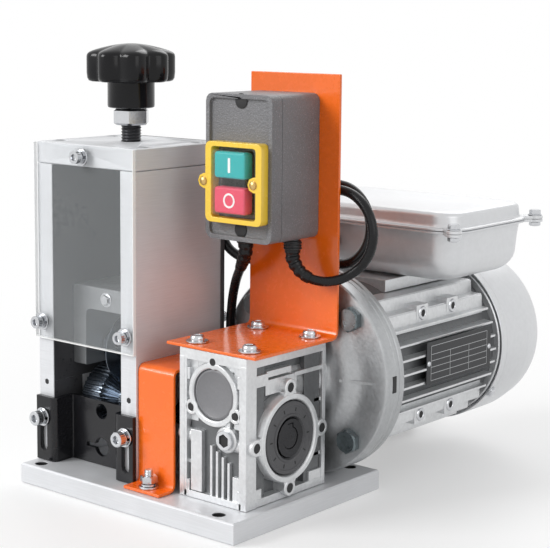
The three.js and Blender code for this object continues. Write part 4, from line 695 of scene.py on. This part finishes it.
guard_screw = cap_screw(4.25, 5, 4, ring=6.2, lock=5.0)
guard_face = 3.35
guard_places = [(HEAD_X + side * PLATE_X, 112.0) for side in (-1, 1)] + [(HEAD_X, 227.3)]
piece("front_guard_screws", at_all(guard_screw, "-y", [(x, HEAD_FRONT - guard_face, z) for x, z in guard_places]),
      "bright_steel")
piece("rear_guard_screws", at_all(guard_screw, "+y", [(x, HEAD_BACK + guard_face, z) for x, z in guard_places]),
      "bright_steel")
head_screw_places = [(HEAD_X + side * PLATE_X, FEED_Y + y) for side in (-1, 1) for y in (-27.2, 23.3)]
piece("top_plate_screws", at_all(socket_head(4.9, 6, 5), "+z", [(x, y, 228.3) for x, y in head_screw_places]),
      "matt_black_and_hole_shade")
under_places = head_screw_places + GEAR_SCREWS
piece("base_plate_screws", at_all(socket_head(4.9, 6, 5), "-z", [(x, y, 6.7) for x, y in under_places]),
      "black_oxide")

# Wire guide and its screws

refined("wire_guide", "black_paint", "guide", bevel=0.45, angle=50)
guide_screw = cap_screw(5, 6, 5, ring=6.4, lock=5.6)
for side, name in ((-1, "left"), (1, "right")):
    place = (HEAD_X + side * PLATE_X, -61.05, 45.0)
    piece(f"{name}_guide_cap_screw", aim(guide_screw, "-y", place), "bright_steel",
          stands_for=(f"{name}_guide_screw",))

# Feed roller, drive shaft, blade and carriage

TEETH = 48


def ribbed(x, radius, depth):
    """The roller's outline at one place along its axis, with teeth of so much depth."""
    ring = []
    for i in range(TEETH):
        for share, low in ((0.0, 1), (0.28, 1), (0.5, 0), (0.78, 0)):
            ring.append((x, *on_circle(radius - depth * low, 2 * math.pi * (i + share) / TEETH)))
    return ring


def roller_shape():
    half = [(26, 23.4, 0.2), (25.4, 24.5, 1.3), (10.0, 24.5, 1.3), (9.2, 23.6, 0.5), (3.2, 11.4, 0), (3, 11, 0)]
    rows = [(-x, *row) for x, *row in half] + half[::-1] + [(26, 7.4, 0), (-26, 7.4, 0)]
    return shift(skin([ribbed(HEAD_X + x, *row) for x, *row in rows], closed=True), 0, FEED_Y, FEED_Z)


piece("ribbed_feed_roller", roller_shape(), "blue_steel", "drive", angle=28, stands_for=("drive_roller",))
refined("drive_shaft", "black_oxide", "drive", bevel=0.3)
refined("blade_carriage", "carriage_steel", "carriage", bevel=0.5)
blade_profile = [(6.6, -19.6), (9.2, -19.6), (9.5, -19.2), (9.5, -2.3), (19, -2.0), (25.3, -0.25), (25.5, 0),
                 (25.3, 0.25), (19, 2.0), (9.5, 2.3), (9.5, 19.2), (9.2, 19.6), (6.6, 19.6)]
piece("cutting_wheel", aim(hoop(blade_profile, 96), "+x", (HEAD_X, FEED_Y, 91.5)), "blue_steel", "blade", angle=25,
      stands_for=("blade_wheel",))
refined("blade_axle", "bright_steel", "carriage", bevel=0.4)
carriage_screw = merged(skin([flats(6.2, 0), flats(6.6, 0.4), flats(6.6, 1.6), circle(3.0, 2.2), circle(0.3, 2.2)]),
                        washer(3.2, 5.2, 0.5))
piece("carriage_set_screw", aim(carriage_screw, "-y", (HEAD_X, FEED_Y - 24.5, 128.5)), "bright_steel", "carriage")

# Star knob, threaded rod and nut

KNOB_POINTS = 160


def star(z, reach, depth):
    """The outline of the knob's eight lobes."""
    ring = []
    for i in range(KNOB_POINTS):
        angle = 2 * math.pi * i / KNOB_POINTS
        lobe = (0.5 + 0.5 * math.cos(8 * (angle - math.radians(5)))) ** 0.62
        ring.append((*on_circle(reach - 4.6 * depth * (1 - lobe), angle), z))
    return ring


def knob_shape():
    collar = ((7.5, 0.3), (14.8, 0), (15.8, 0.6), (16, 2), (16, 16.5), (16.6, 17.4))
    head = ((17.6, 20, 0.4), (17.7, 26.6, 1), (18.4, 28.6, 1), (20.2, 29.6, 1), (24, 30, 1.02), (34.6, 30, 1.02),
            (36.2, 29.6, 1.02), (37.4, 28.4, 1), (38.4, 26.4, 0.95), (39.4, 23.4, 0.82), (40.5, 19.4, 0.6),
            (41.5, 15.2, 0.35), (42.4, 10.8, 0.12), (43, 6, 0), (43.3, 2.5, 0), (43.3, 0.4, 0))
    levels = [circle(r, z, KNOB_POINTS) for r, z in collar] + [star(*row) for row in head]
    return shift(skin(levels), HEAD_X, FEED_Y, 257.8)


piece("lobed_knob", knob_shape(), "black_gloss", "knob", angle=50, stands_for=("star_knob",))
piece("threaded_rod", shift(thread(7, 0.75, 2.0, 126.4, 258.2), HEAD_X, FEED_Y, 0), "black_oxide", "knob", angle=60,
      stands_for=("adjusting_screw",))
piece("hex_jam_nut", shift(spun(nut(22.2, 11, 246.2, 7.1), 38), HEAD_X, FEED_Y, 0), "bright_steel", "knob",
      angle=25, stands_for=("knob_nut",))

# Orange cover over the drive shaft, and its bolts

refined("coupling_cover", "orange_paint", bevel=0.4, angle=50)
cover_bolt = merged(washer(3.2, 6.6, 1.4), lock_washer(3.2, 5.2, 1.2, 1.4), nut(10, 5, 3.1, 2.8),
                    thread(2.95, 0.45, 1.0, 1, 11.5, 24), lathe([(2.5, 11.4), (2.3, 12)], 24))
piece("cover_bolts", at_all(cover_bolt, "+z", [(12.55, y, 16.4) for y in (-62.2, 33.5)]), "bright_steel")

# Worm gearbox: a casting with walls, ribs, bosses and lugs over its core

OUTPUT_UP, WORM_UP = FEED_Z - BASE_TOP, WORM_Z - BASE_TOP


def ring_boss(inner, outer, low, high, chamfer=0.6):
    """A round boss with a hole."""
    return hoop([(inner, low), (outer, low), (outer, high - chamfer), (outer - chamfer, high),
                 (inner + chamfer / 2, high), (inner, high - chamfer / 2)], 32)


def lug(reach, radius, hole, low, high):
    """A screw lug at a distance along +x from a round boss: an arm and an open ring."""
    near, far = reach - radius + 0.8, reach - 2.4
    arm = [(near, -radius - 0.6), (far, -radius * 0.9), (far, radius * 0.9), (near, radius + 0.6)]
    return merged(prism(arm, low, high - 0.4), shift(ring_boss(hole, radius, low, high), reach, 0, 0))


def gearbox_side():
    """A side face's relief along +z, the distance from the middle, with x to the rear and y up."""
    parts = blocks(
        (-39.8, -35.6, 0.4, 92, 22, 27.9), (36.6, 39.9, 0.4, 92, 22, 27.9), (-39.7, 39.8, 90, 96.9, 20, 27.8),
        (-39.5, 39.5, 0.5, 5.4, 20, 27.7), (-39.4, -24, 0.6, 11.6, 20, 27.3), (24, 39.4, 0.6, 11.6, 20, 27.3),
        (-39.3, -18, 77, 84.6, 20, 27.4), (-18.4, 6, 81.4, 85.4, 20, 26.4), (-38, -27, 66.6, 68.8, 20, 25.6),
        (-37, -31, 60.5, 64, 20, 26), (-19, 12, 70, 79.6, 20, 26), (10, 37.4, 77.6, 80.4, 20, 26.4),
        (30, 37.4, 56.6, 59.2, 20, 26), (28, 37.4, 20.4, 22.8, 20, 26), (-37.4, -29, 22, 24.4, 20, 26),
    )
    parts.append(aim(lathe([(24.0, 8), (25.2, 9.2), (25.2, 21.4), (24.0, 22.6)], 64), "+x", (0, WORM_UP, 0)))
    hub = [(29, 10), (29, 30.2), (28.2, 31.5), (25.4, 31.5), (24.9, 31.0), (24.2, 29.6), (24.0, 10)]
    parts.append(shift(hoop(hub, 96), 0, OUTPUT_UP, 0))
    parts += [shift(spun(lug(32.8, 5.6, 3.1, 14, 31.2), 90 * k), 0, OUTPUT_UP, 0) for k in range(4)]
    return merged(*parts)


def gearbox_front():
    """The front face's relief along +z, the distance from the output axis, with x to the right and y up."""
    opening = hoop([(16.4, 20), (20.6, 20), (20.6, 39), (20.0, 39.9), (17.4, 39.9), (16.6, 39.2)], 80)
    parts = [shift(opening, 0, WORM_UP, 0)]
    parts += blocks(
        (-28, -24, 0.3, 91.8, 30, 40), (23.6, 28, 0.3, 91.8, 30, 40), (-27.95, 27.95, 90.2, 97, 30, 39.9),
        (-26, 26, 0.3, 4.6, 30, 39.8), (-24.4, -15, 50, 91, 30, 36.4), (15, 24, 50, 91, 30, 36.4),
        (-16, 16, 86, 90.8, 30, 36.2), (-19, -9.6, 5, 45, 33, 39.2), (15.6, 24, 4, 20, 33, 38.4),
    )
    parts.append(shift(lathe([(8.4, 30), (8.4, 39.1), (7.6, 39.9)], 40), 11, 43, 0))
    parts += blocks((9, 13.5, 48, 56, 33, 38.6))
    parts += [shift(spun(lug(21.2, 5.2, 2.7, 30, 39.8), angle), 0, WORM_UP, 0) for angle in (90, 210, 330)]
    parts += blocks(*[(4.6 * k - 2.6, 4.6 * k - 0.7, 4, 37 - 3 * k, 33, 39.2 - 0.3 * k) for k in range(4)])
    return merged(*parts)


def to_gearbox(shape, turn=lambda x, y, z: (x, z, y)):
    """Puts a shape on the gearbox: without a turn of its own, y is up and z to the rear."""
    return shift(([turn(*point) for point in shape[0]], shape[1]), GEAR_X, FEED_Y, BASE_TOP)


gearbox_relief = merged(
    to_gearbox(gearbox_side(), lambda x, y, z: (z, x, y)), to_gearbox(gearbox_side(), lambda x, y, z: (-z, x, y)),
    to_gearbox(gearbox_front(), lambda x, y, z: (x, -z, y)),
    to_gearbox(block((-27.5, 27.5), (0.7, 4.6), (30, 39.7))),
    to_gearbox(block((-27.6, 27.6), (90.4, 96.8), (-39.6, 39.6))),
    to_gearbox(shift(hoop([(16.4, 30), (26, 30), (26, 39.9), (16.4, 39.9)], 80), 0, WORM_UP, 0)),
)
piece("gearbox_casting", gearbox_relief, "cast_aluminium", bevel=0.55, stands_for=("gearbox_housing",))
# Painted shade: the core between the ribs and lugs takes the darker copy of the cast aluminium, for the shade in
# its recesses
walls = ((21.5, (-36, 36)), (26, (-34, -20)), (26, (20, 36)))
gearbox_shaded_core = merged(*[to_gearbox(block((-half, half), (1, 96), depth)) for half, depth in walls])
piece("gearbox_shaded_core", gearbox_shaded_core, "cast_painted_shade", bevel=0.4)
cap = lathe([(16.3, 0), (16.3, 2.8), (15.6, 3.4), (14.6, 3.5), (14.2, 3.2), (0.4, 3.2)], 80)
piece("worm_end_cap", aim(cap, "-y", (GEAR_X, FEED_Y - 35, WORM_Z)), "cover_grey", stands_for=("worm_cover",))
plug_place = (GEAR_X + 11, FEED_Y - 40, 57)
plug_look = skin([
    circle(6.5, 0), circle(6.5, 1.6), circle(6.0, 2.1), flats(7.8, 2.1), flats(7.4, 1.8), flats(7.4, 0.5),
    circle(0.2, 0.5),
])
piece("oil_level_plug", aim(plug_look, "-y", plug_place), "bright_steel", angle=30, stands_for=("oil_plug",))
# Painted shade: a dark hexagon inside the plug's socket
piece("oil_plug_socket_shade", aim(skin([flats(7.3, 0.5), flats(7.3, 0.8)]), "-y", plug_place), "matt_black_and_hole_shade")
seal = [(13.1, 0), (23.5, 0), (23.5, 1.5), (22.9, 2.0), (21.0, 2.0), (20.6, 1.6), (15.8, 1.6), (15.4, 2.2),
        (14.2, 2.4), (13.6, 1.4), (13.1, 1.0)]
mark = shift(skin([plan(2.6, 0.9, 0.4, 1.5, 3), plan(2.6, 0.9, 0.4, 1.75, 3)]), 18.4, 0, 0)
marks = merged(*[spun(mark, 36 * k) for k in range(10)])
for side, way, name in ((-1, "-x", "left"), (1, "+x", "right")):
    place = (GEAR_X + side * 28.9, FEED_Y, FEED_Z)
    piece(f"{name}_oil_seal", aim(hoop(seal, 96), way, place), "seal_grey", angle=30,
          stands_for=(f"{name}_output_seal",))
    piece(f"{name}_seal_marks", aim(marks, way, place), "matt_black_and_hole_shade")
refined("output_shaft", "black_oxide", "drive", bevel=0.3)
side_holes = [(GEAR_X + 30.4, FEED_Y + a, FEED_Z + b) for a, b in round_places(32.8, (0, 90, 180, 270))]
front_holes = [(GEAR_X + a, FEED_Y - 39.5, WORM_Z + b) for a, b in round_places(21.2, (90, 210, 330))]
# Painted shade: dark discs at the bottom of the lug holes stand for the shade inside them
hole_shade_discs = merged(at_all(disc(3.0, 0, 0.5, 32), "+x", side_holes), at_all(disc(2.4, 0, 0.5), "-y", front_holes))
piece("casting_hole_shade", hole_shade_discs, "matt_black_and_hole_shade")
gear_bolt = merged(washer(3.2, 7.3, 1.1), skin([
    circle(4.6, 1.1), circle(4.7, 2.6), circle(4.4, 3.6), circle(3.7, 4.4), circle(3.0, 4.6),
    flats(4.0, 4.6), flats(3.8, 4.4), flats(3.8, 2.6), circle(0.2, 2.3),
]))
piece("bracket_screws", at_all(gear_bolt, "+z", [(x, y, 113.5) for x, y in GEAR_SCREWS]), "bright_steel", angle=30)

# Input flange and front shield of the motor

flange_profile = [(21, 0), (26.5, 0), (26.9, 1.0), (27.5, 2.6), (29.5, 3.8), (34, 4.0), (38, 4.2), (42, 5.8),
                  (46, 8.4), (50, 9.8), (55, 10), (66.6, 10), (68.4, 10.3), (69.4, 11.2), (69.6, 12.2),
                  (69.6, 19.8), (69.0, 20), (21, 20)]
rib_levels = ((60.5, 10.6, 9.9), (52, 10.6, 9.2), (44, 9, 6.6), (36, 6, 3.6))
rib = skin([[(x, -0.9, z), (x, 0.9, z), (x, 0.9, top), (x, -0.9, top)] for x, z, top in rib_levels])
flange = merged(hoop(flange_profile, 128), *[spun(rib, angle) for angle in (0, 90, 180, 270)])
piece("cast_input_flange", aim(flange, "+y", (GEAR_X, FLANGE_Y, WORM_Z)), "cast_mid", angle=30,
      stands_for=("input_flange",))
bolt_places = [(GEAR_X + a, 36.2, WORM_Z + b) for a, b in round_places(57.5, (45, 135, 225, 315))]
piece("flange_bolts", at_all(hex_head(14.6, 5.2), "-y", bolt_places), "dark_bolt", angle=30)
shield_profile = [(10, 0), (69.2, 0), (69.6, 0.4), (69.6, 3.2), (68.9, 3.9), (68.9, 5.2), (69.6, 5.9), (69.6, 9.0),
                  (68.8, 9.9), (48.3, 9.9), (48.3, 19.9), (17.8, 19.9), (17.8, 9.6), (10, 9.6)]
piece("ribbed_front_shield", aim(hoop(shield_profile, 128), "+y", (GEAR_X, SHIELD_Y, WORM_Z)), "cast_mid", angle=30,
      stands_for=("motor_front_shield",))
# Painted shade: dark blocks at the joint between flange and shield stand for the shade in the pry slots
slots = [block((GEAR_X + x - 1.5, GEAR_X + x + 0.15), (42.8, 46.9), (WORM_Z - 5.5, WORM_Z + 5.5))
         for x in (-69.7, 69.7)]
piece("pry_slot_shade", merged(*slots), "matt_black_and_hole_shade", bevel=0.3)

# Motor housing with fins and screw pads

HOUSING_LENGTH, FIN_END, FIN_PITCH, FIN_REACH = 133, 126.5, 9.4, 61
PAD_PLACES = [(along, height) for along in (50, 87) for height in (-35.5, 35.5)]


def fin_rows():
    """The middle, root and tip of each fin. The tips lie on a circle, and the shortest fins are left out."""
    rows = []
    for row in range(-5, 6):
        middle = FIN_PITCH * row
        root = math.sqrt(max(54 ** 2 - middle ** 2, 0)) - 2
        tip = math.sqrt(FIN_REACH ** 2 - (abs(middle) + 1) ** 2)
        if tip - root >= 1:
            rows.append((middle, root, tip))
    return rows


def fin(side, middle, root, tip):
    return [(side * root, middle - 1.5), (side * tip, middle - 0.8), (side * tip, middle + 0.8),
            (side * root, middle + 1.5)]


def housing_shape():
    """Fins on both sides, below and beside the neck of the terminal box, then the neck and the screw pads."""
    parts = [prism(fin(side, *row), 0, FIN_END) for row in fin_rows() for side in (-1, 1)]
    for row in fin_rows():
        for side in (-1, 1) if abs(row[0]) > 30 else (-1,):
            parts.append(prism([(b, a) for a, b in fin(side, *row)], 0, FIN_END))
    parts.append(block((-27, 27), (49, 57.3), (36, HOUSING_LENGTH)))
    for side in (-1, 1):
        for along, height in PAD_PLACES:
            x = sorted((side * 35, side * 48.4))
            parts.append(block(x, (height - 6, height + 6), (along - 7, along + 7)))
    points, faces = merged(*parts)
    return shift(([(x, z, y) for x, y, z in points], faces), GEAR_X, HOUSING_Y, WORM_Z)


piece("finned_housing", housing_shape(), "cast_aluminium", bevel=0.3, angle=35, stands_for=("motor_housing",))
# Painted shade: the barrel between the fins takes the darker copy of the cast aluminium, for the shade between them
barrel = hoop([(49, 0), (54.5, 0), (54.5, HOUSING_LENGTH), (49, HOUSING_LENGTH)], 128)
piece("shaded_housing_barrel", aim(barrel, "+y", (GEAR_X, HOUSING_Y, WORM_Z)), "cast_painted_shade", angle=30)
# The pads' rings are bright steel; the dark discs in their holes are painted shade
pad_ring = merged(ring_boss(2.4, 4.8, -0.4, 1.0), disc(2.4, -0.4, 0.2))
for kind, shape, look in (("rings", pad_ring, "bright_steel"), ("shaded_holes", disc(2.3, -0.2, 0.35), "matt_black_and_hole_shade")):
    for side, way, name in ((1, "+x", "right"), (-1, "-x", "left")):
        places = [(GEAR_X + side * 48.2, HOUSING_Y + along, WORM_Z + height) for along, height in PAD_PLACES]
        piece(f"{name}_pad_{kind}", at_all(shape, way, places), look)

# Nameplate: a bare ruled plate on two rivets

PLATE_FACE = GEAR_X + 61
refined("nameplate", "plate_black", bevel=0.15)


def rule(y, z):
    return block((PLATE_FACE + 0.05, PLATE_FACE + 0.2), y, z)


lines = [rule((99.5, 170.0), (z - 0.16, z + 0.16)) for z in (75.4, 80.2, 84.6, 89.0, 93.4, 99.2)]
for y, top in ((99.5, 99.2), (123, 93.4), (146.5, 93.4), (170.0, 99.2)):
    lines.append(rule((y - 0.16, y + 0.16), (75.4, top)))
piece("nameplate_rules", merged(*lines), "plate_line")
rivet = lathe([(1.9, 0), (1.8, 0.5), (1.3, 1.0), (0.5, 1.2), (0.1, 1.25)], 24)
piece("nameplate_rivets", at_all(rivet, "+x", [(PLATE_FACE, y, 87.5) for y in (96.8, 172.8)]), "bright_steel")

# Rear shield and fan cover

rear_profile = [(7.0, 0), (17.8, 0), (17.8, -9.8), (48.3, -9.8), (48.3, 0), (58.6, 0), (59.4, 0.8),
                (59.4, 8), (7, 8)]
rear_place = (GEAR_X, REAR_Y, WORM_Z)
piece("cast_rear_shield", aim(hoop(rear_profile, 96), "+y", rear_place), "cast_aluminium", angle=30,
      stands_for=("rear_shield",))


def fan_cover_shape():
    """A pressed cover with a crease, and a grille of rings and spokes at its end."""
    outer = [(61.6, 0), (62, 0.4), (62, 6), (61.6, 6.8), (61.8, 7.6), (62, 8.4), (62, 36), (61.7, 39), (60.6, 46),
             (59.4, 53), (58.4, 56), (56.4, 58.2), (53, 59), (48.5, 59), (47.5, 58.4)]
    inner = [(47.5, 57.2), (53, 57.4), (57.2, 56), (58.4, 52), (60.2, 39), (60.4, 1)]
    shell = hoop(outer + inner, 128)
    rings = [hoop([(r, 57.4), (r + 1.8, 57.4), (r + 1.8, 59), (r, 59)], 96)
             for r in (8, 13.5, 19, 24.5, 30, 35.5, 41, 46)]
    spokes = [spun(block((6, 49), (-1.6, 1.6), (57.3, 58.9)), 60 * k) for k in range(6)]
    return merged(shell, disc(9.5, 57.4, 58.9, 48), *rings, *spokes)


piece("pressed_fan_cover", aim(fan_cover_shape(), "+y", rear_place), "silver_paint", angle=30,
      stands_for=("fan_cover",))
cover_screw = merged(washer(2.2, 4.6, 0.6), lathe([(3.6, 0.5), (3.6, 1.4), (2.6, 2.4), (0.3, 2.6)], 32))


def radial(shape, degrees, reach, y):
    """Stands a shape on a round side about the worm's axis."""
    c, s = on_circle(1, math.radians(degrees))
    points = [(GEAR_X + (reach + out) * c - a * s, y + b, WORM_Z + (reach + out) * s + a * c)
              for a, b, out in shape[0]]
    return points, shape[1]


piece("fan_cover_screws", merged(*[radial(cover_screw, a, 61.9, REAR_Y + 4) for a in (-35, -145, 90)]),
      "bright_steel")

# Terminal box: a deep-drawn tub with its lid and corner screws


def rim(wider, rounder, z):
    """An outline of the terminal box, wider and rounder than its tub by so much."""
    return plan(153.6 + wider, 98 + wider, 17 + rounder, z, 10)


def tub_shape():
    """A round-bottomed tub that widens to a flange, with its own inner step."""
    levels = []
    for k in range(9):
        across, along = on_circle(16, math.pi / 2 * k / 8)
        inset, rise = 16 - along, 16 - across
        levels.append(rim(-2 * inset - 3, max(-0.55 * inset, -9), 142.4 + rise))
    levels += [rim(*row) for row in (
        (-1.5, 0, 168.5), (0, 0, 175.7), (1.2, 1, 176.7), (6.6, 3.6, 176.9), (8, 4, 177.3), (8, 4, 178.2),
        (7, 4, 178.5), (-3, -1, 178.5), (-4, -1, 172.5))]
    return shift(skin(levels), GEAR_X, JUNCTION_Y, 0)


def lid_shape():
    """A flange, a wall and a softly rounded top."""
    levels = [rim(*row) for row in (
        (7, 4, 178.8), (8, 4, 179.1), (8, 4, 180.1), (6.6, 3.4, 180.6), (2.4, 1.2, 180.8), (0.6, 0, 181.7),
        (0, 0, 183.5), (-0.4, 0, 187.1))]
    for k in range(1, 7):
        across, along = on_circle(1, math.pi / 2 * k / 6)
        levels.append(rim(-0.4 - 8 * (1 - across), -2 * (1 - across), 187.1 + 3.6 * along))
    levels += [rim(-22, -6, 190.9), plan(93.6, 48, 9, 191.2, 10), plan(30, 10, 4, 191.4, 10)]
    return shift(skin(levels), GEAR_X, JUNCTION_Y, 0)


lid_places = [(GEAR_X + sx * 80.3, JUNCTION_Y + sy * 52.5) for sx, sy in CORNERS]


def ears(low, high):
    """A round screw ear with a short arm at each corner."""
    parts = []
    for (sx, sy), (x, y) in zip(CORNERS, lid_places):
        parts.append(shift(ring_boss(2.2, 5.5, low, high, 0.4), x, y, 0))
        arm = spun(block((-12, -3), (-5.2, 5.2), (low, high)), math.degrees(math.atan2(sy, sx)))
        parts.append(shift(arm, x, y, 0))
    return merged(*parts)


piece("drawn_terminal_box", merged(tub_shape(), ears(176.6, 178.5)), "silver_paint", angle=35,
      stands_for=("terminal_box",))
piece("drawn_box_lid", merged(lid_shape(), ears(178.8, 180.8)), "silver_paint", angle=35,
      stands_for=("terminal_box_lid",))
lid_screw = merged(washer(2.2, 4.8, 0.8), hex_head(7, 3.2, 0.8), disc(2.0, -7, 0), nut(7, 3, -7.5, 2.0))
piece("lid_screws", at_all(lid_screw, "+z", [(x, y, 180.85) for x, y in lid_places]), "bright_steel", angle=30)

# Switch bracket, box, bezel, buttons and boot

refined("switch_bracket", "orange_paint", bevel=0.45, angle=50)
refined("switch_box_base", "grey_plastic", bevel=0.5, angle=45)
refined("switch_box_cover", "grey_plastic", bevel=0.5, angle=45)
refined("switch_bezel", "yellow_plastic", bevel=0.6, angle=45)
refined("button_boot", "clear_boot", bevel=0.5, angle=50)
refined("start_button", "green_plastic", "start", bevel=0.7, angle=45)
refined("stop_button", "red_plastic", "stop", bevel=0.7, angle=45)
SIGN_Y = -27.25
start_bar = skin([plan(1.9, 9.5, 0.5, 0, 3), plan(1.9, 9.5, 0.5, 0.25, 3)])
stop_ring = tube(3.5, 4.8, 0, 0.25, round_off=0.05)
piece("start_sign", aim(start_bar, "-y", (BUTTON_X, SIGN_Y, BUTTON_Z + 11.25)), "white_print_and_highlight", "start")
piece("stop_sign", aim(stop_ring, "-y", (BUTTON_X, SIGN_Y, BUTTON_Z - 11.25)), "white_print_and_highlight", "stop")
# Painted shade: the box cover's sunk screws and the discs of their counterbores are near-black, for the shade in
# the counterbores
sunk_screw = merged(lathe([(4.9, 0), (4.9, 0.5), (4.7, 0.6)], 40),
                    lathe([(3.6, -1.6), (3.6, -0.9), (2.8, -0.4), (0.3, -0.4)], 40),
                    block((-3, 3), (-0.4, 0.4), (-0.5, -0.2)))
piece("box_cover_screws", at_all(sunk_screw, "-y", [(52.6, -18.6, z) for z in (266.7, 184.5)]), "matt_black_and_hole_shade")
lug_screw = merged(lathe([(2.6, 0), (2.6, 0.8), (1.9, 1.5), (0.2, 1.7)], 32), washer(1.5, 3.0, 0.3))
piece("bezel_screws", at_all(lug_screw, "-y", [(x, -26.8, BUTTON_Z) for x in (27.7, 69.5)]), "brass_screw")

# Glands and grommets

GROMMETS_X = (31.7, 71.7)
gland_ridges = [tube(4.4, 6.0 - 0.5 * (k % 2), -5.9 + 0.9 * k, -5.0 + 0.9 * k, 40, 0.2) for k in range(6)]
grommet_body = merged(tube(3.6, 4.6, -0.5, 4.8, 40), *gland_ridges)
grommets = merged(block(GROMMETS_X, (6.2, 14.8), (174.9, 176.6)),
                  *[shift(grommet_body, x, 10.5, 176.7) for x in GROMMETS_X])
piece("ridged_grommets", grommets, "black_plastic", bevel=0.2, stands_for=("box_grommets",))
gland_body = skin([
    circle(4.8, -4.6), circle(4.9, 0.3), circle(6.0, 0.3), flats(13.2, 0.4), flats(13.2, 4.2), circle(6.3, 4.6),
    circle(6.3, 5.0), flats(12.4, 5.2), flats(12.4, 8.2), circle(5.6, 9.6), circle(4.9, 12.5), circle(4.3, 15.6),
    circle(3.4, 15.8),
])
piece("cable_gland", aim(gland_body, "-y", (37.2, 97.3, 164)), "black_plastic", angle=30,
      stands_for=("lead_gland",))

# Hidden and small nodes keep their CAD shape and get their material

CARRIED = {
    "bright_steel": ("left_drive_bearing", "right_drive_bearing", "left_output_bearing", "right_output_bearing",
                     "front_worm_bearing", "rear_worm_bearing", "front_motor_bearing", "rear_motor_bearing",
                     "worm_shaft", "rotor"),
    "bronze": ("worm_wheel",),
    "black_oxide": ("stator",),
    "black_plastic": ("cooling_fan", "capacitor", "switch_body"),
}
for look, nodes in CARRIED.items():
    for node in nodes:
        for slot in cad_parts[node].material_slots:
            slot.material = LOOKS[look]
